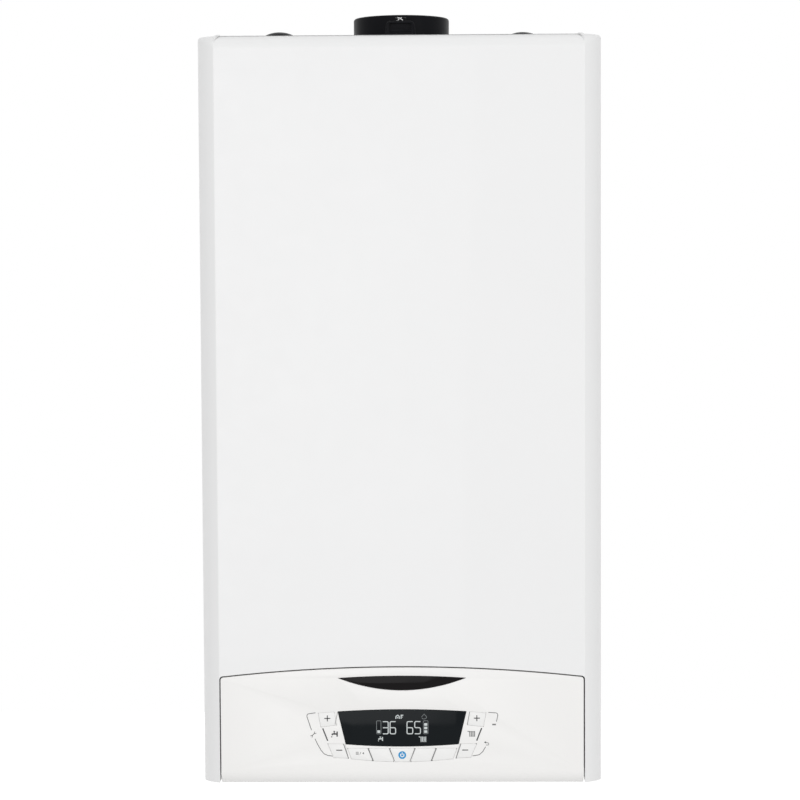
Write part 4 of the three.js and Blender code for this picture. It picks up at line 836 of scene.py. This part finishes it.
def make_panel_marks():
    dark, print_and_gap_shade = [], []
    for side in (-1, 1):
        dark.append(ribbon(flipped([(79.3, 53.6), (74.4, 41.0)], side), 1.25))
        # The lines from here down to the key edges lie over the gaps round the keys: painted shade, standing for the
        # shade in those gaps.
        print_and_gap_shade.append(ribbon(flipped([(58.6, 38.0), (53.6, 23.0)], side), 0.8))
        for top, foot, stroke in ((34.1, 29.0, 0.8), (12.9, 7.7, 0.55)):
            print_and_gap_shade.append(ribbon(flipped([(top, 33.3), (foot, 20.6)], side), stroke))
        edge = [(-64.3, 70.2), (-67.0, 57.4)] if side < 0 else [(67.5, 70.2), (65.0, 57.4)]
        print_and_gap_shade.append(ribbon(edge, 0.5))
    dark += tap_icon((-67.5, 47.8), 6.2)
    print_and_gap_shade += radiator_icon((69.3, 47.8), 6.6)
    print_and_gap_shade.append(ribbon([(-86.4, 69.3), (-95.8, 68.0), (-90.5, 51.8)], LINE_STROKE, 2.4))
    print_and_gap_shade.append(ribbon([(-87.0, 43.1), (-84.4, 37.4), (-81.0, 31.4), (-78.1, 27.9), (-74.2, 26.2), (-69.5, 25.6)],
                       LINE_STROKE, 2.0))
    print_and_gap_shade.append(ribbon([(86.1, 69.4), (96.1, 68.8), (94.1, 60.2)], LINE_STROKE, 2.4))
    print_and_gap_shade.append(ribbon([(83.2, 34.8), (80.4, 29.9), (76.8, 26.7), (70.0, 25.6)], LINE_STROKE, 3.0))
    print_and_gap_shade += spanner_icon((-88.7, 47.4), 6.6)
    print_and_gap_shade.append(ribbon([(89.9, 57.2), (93.5, 57.2)], 1.5))
    print_and_gap_shade.append(ribbon([(82.6, 39.2), (86.4, 38.6), (86.2, 36.4), (83.6, 36.6)], 0.6, 0.9))
    print_and_gap_shade.append(mark_prism([(81.6, 39.3), (83.5, 38.0), (83.7, 40.4)]))
    print_and_gap_shade += menu_icon((-42.0, 28.4))
    add_piece("panel_marks_dark", joined(*dark), "print_dark", "control_panel")
    # Printed signs together with the painted shade laid over the key gaps.
    add_piece("panel_marks_and_gap_shade", joined(*print_and_gap_shade), "print_grey", "control_panel")


def spanner_icon(centre, length):
    """An open-ended spanner lying at 45 degrees."""
    x, z = centre
    half = length / 2 * math.sqrt(0.5)
    shaft = ribbon([(x - half * 0.62, z - half * 0.62), (x + half * 0.62, z + half * 0.62)], 0.8)
    jaws = [ribbon(arc((x + way * half * 0.85, z + way * half * 0.85), 0.95, turn, turn + 220, 12), 0.65)
            for way, turn in ((1, 115), (-1, 295))]
    return [shaft, *jaws]


def menu_icon(centre):
    """Three lines and a pointer, for the menu key."""
    x, z = centre
    lines = [ribbon([(x - 4.4, z + rise), (x - 1.4, z + rise)], 0.55) for rise in (-1.1, 0.0, 1.1)]
    stroke = ribbon([(x - 0.4, z - 1.4), (x + 0.7, z + 1.4)], 0.5)
    pointer = mark_prism([(x + 2.0, z), (x + 3.8, z - 1.2), (x + 3.8, z + 1.2)])
    return [*lines, stroke, pointer]


# ------------------------------------------------------------ flue collar, plugs and casing

BOSS_FOOT_HALF = 17.0
BOSS_TOP_HALF = 14.2
BOSS_TOP = 22.8
BOSS_RECESS = {"left": -11.3, "right": 11.3, "foot": 14.8, "top": 20.6}


def node_centre(node):
    low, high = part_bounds(node)
    return ((low[0] + high[0]) / 2, (low[1] + high[1]) / 2)


def revolved(profile, centre, segments=96):
    """A closed profile of (radius, height above the roof), both in millimetres."""
    return lathe(above_roof([*profile, profile[0]]), centre, segments)


def make_collar():
    centre = node_centre("flue_inner_socket")
    wall = revolved([(46.5, -13.2), (46.5, 0.3), (57.5, 0.3), (57.5, 2.2), (55.2, 4.6), (51.2, 5.4), (50.3, 6.4),
                     (50.0, 8.0), (50.0, 28.4), (49.6, 29.8), (48.6, 30.6), (44.6, 30.6), (43.4, 29.9),
                     (43.0, 28.8), (43.0, -13.2)], centre, 128)
    y_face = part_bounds("flue_collar")[0][1]
    boss = boss_mesh(y_face, centre[1] - 49.0 * MM)
    add_piece("flue_collar_wall", joined(wall, boss), "black_plastic", "boiler", "flue_collar")
    dressed("flue_inner_socket", 0.5, name="flue_socket_wall")
    seal = revolved([(28.6, 22.6), (30.0, 22.6), (30.0, 26.6), (28.6, 26.6), (28.0, 25.6), (28.5, 24.6),
                     (28.0, 23.6)], centre)
    add_piece("flue_lip_seal", seal, "rubber", "boiler", "flue_seal")
    add_piece("flue_duct_wall", revolved_tube("flue_duct", 2.0 * MM), "white_plastic", "boiler", "flue_duct")


def revolved_tube(node, wall, segments=96):
    """A round tube on end, in the place of a CAD node, with its rims softened."""
    low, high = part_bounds(node)
    radius = (high[0] - low[0]) / 2
    soft = wall / 4
    profile = [(radius - wall, low[2] + soft), (radius - wall + soft, low[2]), (radius - soft, low[2]),
               (radius, low[2] + soft), (radius, high[2] - soft), (radius - soft, high[2]),
               (radius - wall + soft, high[2]), (radius - wall, high[2] - soft)]
    return lathe([*profile, profile[0]], node_centre(node), segments)


def above_roof(points):
    return [(x * MM, TOP + z * MM) for x, z in points]


def boss_mesh(front, back):
    """The sampling point's housing on the front of the collar: drafted sides, rounded shoulders and a recess."""
    foot, top = 0.3, BOSS_TOP
    outline = fillet([(-BOSS_FOOT_HALF, foot), (BOSS_FOOT_HALF, foot), (BOSS_TOP_HALF, top), (-BOSS_TOP_HALF, top)],
                     [0, 0, 5.0, 5.0], 8)
    solid = outline_prism(above_roof(outline), front, back)
    solid = rounded(solid, 1.2, 3, 50)
    r = BOSS_RECESS
    corners = fillet([(r["left"], r["foot"]), (r["right"], r["foot"]), (r["right"], r["top"]), (r["left"], r["top"])],
                     [1.2] * 4, 4)
    recess = outline_prism(above_roof(corners), front - 0.01, front + 3.0 * MM)
    x, y = node_centre("sampling_cap")
    well = lathe([(0, TOP + 14 * MM), (5.4 * MM, TOP + 14 * MM), (5.4 * MM, TOP + 0.05), (0, TOP + 0.05)],
                 (x, y), 40)
    ledge = rounded(box_mesh(((r["left"] + 0.5) * MM, front + 0.3 * MM, TOP + (r["foot"] - 3.4) * MM),
                             ((r["right"] - 0.5) * MM, front + 3.0 * MM, TOP + (r["foot"] - 0.4) * MM)), 0.4)
    groove = box_mesh((r["left"] * MM, front - 0.01, TOP + (r["foot"] - 4.4) * MM),
                      (r["right"] * MM, front + 0.9 * MM, TOP + r["foot"] * MM))
    return joined(cut_by(solid, recess, groove, well), ledge)


def make_collar_mark():
    """A small printed arrow on the front of the sampling point's cap."""
    centre = node_centre("sampling_cap")
    radius = 6.0 * MM
    lines = [[(-3.4, 26.2), (-1.9, 26.7), (-1.2, 25.4), (-2.1, 24.0), (-3.8, 24.0)],
             [(-0.9, 26.7), (1.0, 24.9), (2.6, 24.0)], [(1.4, 26.7), (0.1, 25.1)]]
    mesh = bpy.data.meshes.new("mark")
    with edited(mesh) as work:
        for start, end in ((Vector(a), Vector(b)) for line in lines for a, b in zip(line, line[1:])):
            side = (end - start).normalized().orthogonal() * 0.36
            rows = []
            for place in (start + side, start - side, end - side, end + side):
                x = place.x * MM
                rows.append((x, centre[1] - math.sqrt(radius ** 2 - x ** 2), TOP + place.y * MM))
            front = [work.verts.new((x, y - 0.06 * MM, z)) for x, y, z in rows]
            back = [work.verts.new((x, y + 0.3 * MM, z)) for x, y, z in rows]
            work.faces.new(front)
            work.faces.new(back[::-1])
            for k in range(4):
                work.faces.new((front[k], back[k], back[(k + 1) % 4], front[(k + 1) % 4]))
        bmesh.ops.recalc_face_normals(work, faces=work.faces)
    add_piece("cap_mark", mesh, "print_white", "sampling_cap")


def make_plugs():
    for side in ("left", "right"):
        centre = node_centre(f"plug_{side}")
        dome = [(20.5 * math.cos(t), 4.6 + 11.5 * math.sin(t)) for t in [math.pi / 2 * k / 14 for k in range(14)]]
        profile = [(0, -8.0), (29.2, -8.0), (30.0, -7.2), (30.0, 0.3), (39.2, 0.3), (40.0, 1.0), (40.0, 2.6),
                   (39.0, 4.0), (22.6, 4.4), (20.9, 4.9), *dome, (0, 16.1)]
        mesh = lathe(above_roof(profile), centre, 96)
        ribs = [rib_mesh(centre, 23.5 * MM, 37.5 * MM, turn) for turn in range(0, 360, 60)]
        add_piece(f"plug_{side}_cap", joined(mesh, *ribs), "black_plastic", f"plug_{side}", f"plug_{side}")


def rib_mesh(centre, inner, outer, turn):
    """A low rib on a plug's flange."""
    rib = rounded(box_mesh((inner, -0.9 * MM, 3.4 * MM), (outer, 0.9 * MM, 5.2 * MM)), 0.4)
    rib.transform(Matrix.Translation((centre[0], centre[1], TOP)) @ Matrix.Rotation(math.radians(turn), 4, "Z"))
    return rib


def make_sampling_cap():
    x, y = node_centre("sampling_cap")
    low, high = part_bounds("sampling_cap")
    radius = (high[0] - low[0]) / 2
    rim = high[2] - 4.4 * MM
    profile = [(0, low[2]), (radius - 1.6 * MM, low[2]), (radius - 1.0 * MM, low[2] + 0.6 * MM),
               (radius - 1.0 * MM, rim), (radius - 0.3 * MM, rim), (radius, rim + 0.3 * MM),
               (radius, high[2] - 0.8 * MM), (radius - 0.8 * MM, high[2]), (0, high[2])]
    cap = lathe(profile, (x, y), 48)
    slot = box_mesh((x - radius + 1.4 * MM, y - 0.6 * MM, high[2] - 2.0 * MM),
                    (x + radius - 1.4 * MM, y + 0.6 * MM, high[2] + 1.0 * MM))
    add_piece("sampling_cap_body", cut_by(cap, slot), "black_plastic", "sampling_cap", "sampling_cap")


def make_back_panel():
    """The back panel, with the shallow beads that are pressed into such a sheet."""
    rear = corners_of("back_panel")[1][1]
    depth = 0.6
    upright = [part_box((x - 5, rear - depth, 70), (x + 5, rear + 1, 640), 0.3) for x in (-160, 160)]
    level = [part_box((-120, rear - depth, z - 5), (120, rear + 1, z + 5), 0.3) for z in (110, 330, 550)]
    panel = cut_by(node_mesh("back_panel"), *upright, *level)
    panel = rounded(panel, 0.35)
    add_piece("back_panel_fine", panel, "galvanised_steel", "boiler", "back_panel")


def make_electrics():
    """The electrics box behind the control panel, with its screwed rear lid, air slots and grommets."""
    high = corners_of("control_box")[1]
    rear, top = -266.0, high[2]
    half = high[0] - 6.0
    lid = part_box((-half, rear - 0.4, 19), (half, rear + 2.4, top - 4), 0.9)
    slots = [part_box((x, rear - 1, 40), (x + 2.4, rear + 4, 66)) for x in range(64, 124, 6)]
    frame_low, frame_high = (-118.0, rear - 1, 34.0), (20.0, rear + 4, 80.0)
    groove = cut_by(part_box(frame_low, frame_high),
                    part_box((frame_low[0] + 1.6, rear - 2, frame_low[2] + 1.6),
                             (frame_high[0] - 1.6, rear + 5, frame_high[2] - 1.6)))
    groove.transform(Matrix.Translation((0.0, 2.6 * MM, 0.0)))
    box = joined(softened("control_box", 0.7), cut_by(lid, *slots, groove))
    add_piece("electrics_box_fine", box, "grey_plastic", "control_panel", "control_box")
    screws = [pan_screw(x, rear + 2.3, z, 3.4, 2.2, 1.0)
              for x in (-half + 7, -50, 50, half - 7) for z in (26, top - 11)]
    extra("electrics_lid_screws", joined(*screws), "galvanised_steel", "control_panel")
    grommets = [turned_piece([(8, top - 1), (8, top + 0.9), (6.6, top + 1.6), (6.0, top + 4.2), (4.6, top + 4.8)],
                             (x, -290.0), 40, "Z") for x in (-110, -74, 74, 110)]
    extra("electrics_grommets", joined(*grommets), "rubber", "control_panel")


# Nodes that keep their CAD shape, with the rounding of their edges in millimetres.
CASING = {
    "side_panel_left": 0.5, "side_panel_right": 0.5, "roof_panel": 0.35, "base_plate": 0.45, "panel_hinge_left": 0.5,
    "panel_hinge_right": 0.5, "cover_screw_left": 0.35, "cover_screw_right": 0.35,
}
INSIDE = {
    "heat_exchanger_coil": 2.5, "fan_impeller": 0.3, "gas_pipe": 0.3, "pump_impeller": 0.4, "relief_valve": 0.9,
    "filling_valve": 0.9, "flow_pipe": 0.4, "return_pipe": 0.4, "hot_water_pipe": 0.4, "cold_water_pipe": 0.4,
    "hx_flow_pipe": 0.4, "hx_return_pipe": 0.4, "control_board": 0.3, "display_module": 0.5,
}
EXCHANGER_RADIUS = 108.0


def corners_of(node):
    """A node's box in millimetres from the casing's foot, the wall and the middle."""
    low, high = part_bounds(node)
    return ([low[0] / MM, low[1] / MM, (low[2] - FOOT) / MM], [high[0] / MM, high[1] / MM, (high[2] - FOOT) / MM])


def spot(x, y, z):
    return (x * MM, y * MM, FOOT + z * MM)


def part_box(low, high, soft=0.0, segments=2):
    mesh = box_mesh(spot(*low), spot(*high))
    return rounded(mesh, soft, segments) if soft else mesh


def turned_piece(profile, centre, segments=48, axis="Y"):
    """A solid turned from (radius, place along the axis), in millimetres.

    It is a ring where the profile closes on itself, and is otherwise closed by a face at each end.
    """
    if profile[0] != profile[-1]:
        profile = [(0, profile[0][1]), *profile, (0, profile[-1][1])]
    if axis == "Z":
        return lathe([(r * MM, FOOT + t * MM) for r, t in profile], (centre[0] * MM, centre[1] * MM), segments)
    return lathe([(r * MM, t * MM) for r, t in profile], (centre[0] * MM, FOOT + centre[1] * MM), segments, "Y")


def around(centre, radius, turns):
    """Places on a circle, with the angles in degrees."""
    return [(centre[0] + radius * math.cos(math.radians(turn)), centre[1] + radius * math.sin(math.radians(turn)))
            for turn in turns]


def middle_of(node):
    low, high = corners_of(node)
    return ((low[0] + high[0]) / 2, (low[2] + high[2]) / 2)


def turned_about(mesh, centre, degrees):
    """A mesh drawn round the middle of the casing's foot, turned about Y and moved to its centre."""
    mesh.transform(Matrix.Translation((0, 0, -FOOT)))
    mesh.transform(Matrix.Rotation(math.radians(degrees), 4, "Y"))
    mesh.transform(Matrix.Translation((centre[0] * MM, 0, FOOT + centre[1] * MM)))
    return mesh


def bolt(x, y, z, size=8.0, length=4.0):
    """A hexagon head with a washer, facing the front, standing on the face at y."""
    washer = turned_piece([(size * 0.78, y), (size * 0.78, y - 1.0)], (x, z), 24)
    half = size / 2
    head = turned_piece([(half, y - 0.9), (half, y - (length - 0.5)), (half - 0.5, y - length)], (x, z), 6)
    return joined(washer, head)


def pan_screw(x, y, z, radius=3.2, height=2.2, way=-1.0):
    """A pan-head screw with a crossed slot, facing the front (or the back) and standing on the face at y."""
    head = turned_piece([(radius, y), (radius, y + way * height * 0.45), (radius * 0.72, y + way * height)],
                        (x, z), 24)
    reach, half = radius * 0.6, radius * 0.14
    y_low, y_high = sorted((y + way * (height + 1), y + way * height * 0.4))
    return cut_by(head, *[part_box((x - across, y_low, z - up), (x + across, y_high, z + up))
                          for across, up in ((reach, half), (half, reach))])


def union_nut(centre, z, across, height):
    """A hexagon nut on an upright pipe."""
    half = across / 2
    chamfer = half * 0.1
    return turned_piece([(half * 0.55, z), (half - chamfer, z), (half, z + chamfer), (half, z + height - chamfer),
                         (half - chamfer, z + height), (half * 0.55, z + height), (half * 0.55, z)], centre, 6, "Z")


def extra(name, mesh, material, body="boiler"):
    """A piece of the scene alone, which stands for no CAD node."""
    add_piece(name, mesh, material, body)


def make_casing():
    for node, width in CASING.items():
        dressed(node, width)


def make_inside():
    for node, width in INSIDE.items():
        dressed(node, width)


def make_exchanger():
    front = corners_of("heat_exchanger_shell")[0][1]
    r = EXCHANGER_RADIUS
    bands = [turned_piece([(r - 1, y), (r + 2.2, y), (r + 3.0, y + 0.8), (r + 3.0, y + 3.2), (r + 2.2, y + 4),
                           (r - 1, y + 4), (r - 1, y)], exchanger_axis(), 96)
             for y in (front + 6, front + 44, front + 84)]
    dressed("heat_exchanger_shell", 1.6, 3, *bands, name="exchanger_shell_fine")


def exchanger_axis():
    return (corners_of("heat_exchanger_shell")[0][0] + EXCHANGER_RADIUS, middle_of("burner_door")[1])


def make_burner_door():
    x, z = exchanger_axis()
    face = corners_of("burner_door")[0][1] + 22.0
    places = around((x, z), 97.5, range(45, 360, 30))
    pads = [turned_piece([(6.5, face + 2), (6.5, face - 1.1), (5.6, face - 1.9)], place, 24) for place in places]
    beads = [turned_piece([(r - 2.4, face + 0.7), (r - 1.6, face - 1.4), (r + 1.6, face - 1.4), (r + 2.4, face + 0.7),
                           (r - 2.4, face + 0.7)], (x, z), 96) for r in (84.0, 60.0)]
    dressed("burner_door", 1.8, 3, *pads, *beads)
    bolts = [bolt(px, face - 1.8, pz, 8.5, 5.0) for px, pz in places]
    extra("burner_door_bolts", joined(*bolts), "galvanised_steel")
    rim = [(8.6, face + 0.5), (8.6, face - 4.0), (7.4, face - 5.1), (6.0, face - 4.0)]
    extra("sight_glass_rim", turned_piece(rim, (x - 51, z - 51), 40), "stainless_steel")
    glass = [(5.9, face - 3.5), (5.2, face - 4.6)]
    extra("sight_glass", turned_piece(glass, (x - 51, z - 51), 32), "display_glass")
    stem = [(4.2, face - 6), (4.2, face - 15), (2.6, face - 19.5)]
    holder = part_box((x + 40, face - 7, z - 62), (x + 62, face + 0.5, z - 50), 1.2)
    extra("ignition_electrode", joined(holder, turned_piece(stem, (x + 51, z - 56), 32)), "white_plastic")


def make_fan():
    x, z = middle_of("fan_housing")
    seam = -234.5
    flange = turned_piece([(56.0, seam), (59.4, seam), (60.2, seam + 0.8), (60.2, seam + 4.2), (59.4, seam + 5),
                           (56.0, seam + 5), (56.0, seam)], (x, z), 96)
    places = around((x, z), 56.5, (20, 80, 140, 200, 260, 320))
    lugs = [turned_piece([(6.0, seam - 1.5), (6.0, seam + 6.5)], place, 24) for place in places]
    ribs = [turned_about(part_box((38.5, -266.2, -1.2), (54.0, -261.2, 1.2), 0.5), (x, z), turn + 22.5)
            for turn in range(0, 360, 45)]
    dressed("fan_housing", 1.8, 3, flange, *lugs, *ribs)
    screws = [pan_screw(px, seam - 1.4, pz, 3.6, 2.4) for px, pz in places]
    extra("fan_screws", joined(*screws), "galvanised_steel")
    motor = turned_piece([(28.5, -298.9), (31.5, -297.6), (33.0, -294.5), (35.6, -292.5), (35.6, -264.5),
                          (34.9, -262.0)], (x, z), 72)
    vents = [part_box((px - 1.3, -300.5, pz - 1.3), (px + 1.3, -297.6, pz + 1.3))
             for px, pz in around((x, z), 22, range(0, 360, 20))]
    extra("fan_motor_cap", cut_by(motor, joined(*vents)), "black_plastic")


def make_gas_parts():
    x = middle_of("gas_mixer")[0]
    rings = [turned_piece([(29.6, y), (31.6, y), (32.2, y + 0.6), (32.2, y + 3.4), (31.6, y + 4), (29.6, y + 4),
                           (29.6, y)], (x, corners_of("gas_mixer")[0][2] + 30), 64) for y in (-204, -173)]
    dressed("gas_mixer", 1.6, 3, *rings)
    low, high = corners_of("gas_valve")
    face = low[1] + 20.0
    foot = low[2]
    plates = [part_box((low[0] + 5, face - 2.2, foot + 5), (high[0] - 5, face + 0.6, foot + 33), 0.8),
              part_box((low[0] + 3, face - 1.4, foot + 69), (high[0] - 3, face + 0.6, foot + 103), 0.6)]
    dressed("gas_valve", 1.6, 3, *plates)
    coils = [part_box((x + left, face - deep, foot + 72), (x + right, face - 1.0, foot + 100), 2.2, 3)
             for left, right, deep in ((-23, 1, 18.0), (4, 24, 14.0))]
    extra("gas_valve_coils", joined(*coils), "black_plastic")
    screws = [pan_screw(low[0] + dx, face - 2.1, foot + dz, 3.0, 2.0) for dx in (11, 49) for dz in (11, 27)]
    extra("gas_valve_screws", joined(*screws), "galvanised_steel")
    cap = [(13.2, low[1] + 0.5), (13.2, low[1] - 1.5), (11.8, low[1] - 3.0)]
    slot = part_box((x - 9, low[1] - 4, foot + 51.7), (x + 9, low[1] - 1.8, foot + 53.3))
    extra("gas_valve_cap", cut_by(turned_piece(cap, (x, foot + 52.5), 40), slot), "brass")
    extra("gas_nut", union_nut((x, face + 25.0), foot - 21, 27, 17), "brass")


def make_vessel():
    low, high = corners_of("expansion_vessel")
    grow = 2.6
    left, right, bottom, top = low[0] - grow, high[0] + grow, low[2] - grow, high[2] + grow
    outline = fillet([spot(x, 0, z)[::2] for x, z in ((left, bottom), (right, bottom), (right, top), (left, top))],
                     [(55 + grow) * MM] * 4, 16)
    middle = (low[1] + high[1]) / 2
    seam = outline_prism(outline, (middle - 2.4) * MM, (middle + 2.4) * MM)
    dressed("expansion_vessel", 9.0, 5, rounded(seam, 1.0), name="vessel_fine")
    y = low[1]
    stem = [(9, y + 1), (9, y - 1.5), (4.4, y - 2.5), (4.4, y - 12), (3.6, y - 13)]
    extra("vessel_valve", turned_piece(stem, (-120.0, low[2] + 40), 32), "brass")


def make_pump():
    dressed("pump_housing", 1.8, 3)
    low, high = corners_of("pump_motor")
    x, z = middle_of("pump_motor")
    radius = (high[0] - low[0]) / 2
    front, seat = low[1], corners_of("pump_housing")[0][1]
    drum = turned_piece([(radius - 8, front), (radius - 4, front + 2.4), (radius - 2.6, front + 6),
                         (radius - 2.6, seat - 5), (radius, seat - 4), (radius, seat - 0.3)], (x, z), 72)
    fins = [turned_about(part_box((radius - 4, front + 9, -1.0), (radius - 0.1, seat - 4, 1.0), 0.4), (x, z), turn)
            for turn in range(0, 360, 12)]
    terminals = part_box((x - radius - 14, front + 14, z - 16), (x - radius + 6, front + 54, z + 18), 2.0, 3)
    add_piece("pump_motor_fine", joined(drum, *fins, terminals), "black_plastic", "boiler", "pump_motor")
    cap = [(21, front + 1), (21, front - 1.6), (19.6, front - 3.0)]
    slot = part_box((x - 8, front - 4, z - 1), (x + 8, front - 1.6, z + 1))
    extra("pump_front_cap", cut_by(turned_piece(cap, (x, z), 64), slot), "grey_plastic")
    places = around((x, z), 43.5, (45, 135, 225, 315))
    lugs = [turned_piece([(6.8, seat), (6.8, seat + 11)], place, 28) for place in places]
    extra("pump_lugs", joined(*lugs), "cast_aluminium")
    extra("pump_bolts", joined(*[bolt(px, seat + 0.1, pz, 7.5, 5.5) for px, pz in places]), "galvanised_steel")


def make_plate_exchanger():
    """The plate heat exchanger: a stack of brazed plates between two thicker end plates."""
    low, high = corners_of("plate_heat_exchanger")
    end, plates = 2.0, 16
    pitch = (high[1] - low[1] - 2 * end) / plates
    layers = []
    for i in range(plates):
        y = low[1] + end + i * pitch
        margin = 0.0 if i % 2 else 1.3
        layers.append(part_box((low[0] + 1 + margin, y, low[2] + 1 + margin),
                               (high[0] - 1 - margin, y + pitch, high[2] - 1 - margin), 0.5))
    ends = [part_box((low[0], near, low[2]), (high[0], far, high[2]), 0.6)
            for near, far in ((low[1], low[1] + end), (high[1] - end, high[1]))]
    add_piece("plate_stack", joined(*layers, *ends), "stainless_steel", "boiler", "plate_heat_exchanger")


def make_hydraulics():
    for side in ("flow", "return"):
        low, high = corners_of(f"{side}_manifold")
        start = low[0] if side == "flow" else high[0] - 60.0
        near, far = low[1] - 1.5, low[1] + 1
        ribs = [part_box((start + dx, near, low[2] + 3), (start + dx + 2.4, far, high[2] - 3), 0.6)
                for dx in (3, 54.6)]
        ribs += [part_box((start + 3, near, low[2] + dz), (start + 57, far, low[2] + dz + 2.4), 0.6)
                 for dz in (3, 59.6)]
        dressed(f"{side}_manifold", 3.0, 4, *ribs)
    y = corners_of("diverter_motor")[0][1]
    cap = turned_piece([(14, y - 2.5), (15.5, y - 1), (15.5, y + 1)], middle_of("diverter_motor"), 40)
    dressed("diverter_motor", 2.0, 3, cap, name="diverter_fine")
    for node, ridges in (("relief_knob", 12), ("filling_knob", 16)):
        low, high = corners_of(node)
        x, z = middle_of(node)
        reach = (high[0] - low[0]) / 2 - 0.8
        turns = [2 * math.pi * k / ridges for k in range(ridges)]
        grips = [turned_piece([(1.6, low[1] + 2.0), (1.6, low[1] + 13.5)],
                              (x + reach * math.cos(turn), z + reach * math.sin(turn)), 12) for turn in turns]
        dressed(node, 1.4, 3, *grips)
    nuts = [union_nut((middle_of(pipe)[0], -125.0), 45, 37, 13) for pipe in ("flow_pipe", "return_pipe")]
    nuts += [union_nut((x, -67.5), 45, 26, 13) for x in (-67.0, 67.0)]
    extra("union_nuts", joined(*nuts), "brass")


def make_drain():
    low, high = corners_of("condensate_trap")
    middle = ((low[0] + high[0]) / 2, (low[1] + high[1]) / 2)
    bands = [turned_piece([(22.0, z), (25.4, z), (25.4, z + 5), (22.0, z + 5), (22.0, z)], middle, 64, "Z")
             for z in (high[2] - 12, 30.0)]
    dressed("condensate_trap", 1.4, 3, *bands, name="trap_fine")
    dressed("condensate_hose", 0.4, name="drain_hose")


# ------------------------------------------------------------ the scene

for make in (make_camera, make_world, make_lights, make_floor, make_cover, make_panel, make_keys, make_panel_marks,
             make_signs, make_power_symbol, make_display_marks, make_collar, make_collar_mark, make_plugs,
             make_sampling_cap, make_casing, make_back_panel, make_electrics, make_inside, make_exchanger,
             make_burner_door, make_fan, make_gas_parts, make_vessel, make_pump, make_plate_exchanger,
             make_hydraulics, make_drain):
    make()

bpy.context.scene.view_settings.view_transform = "Standard"
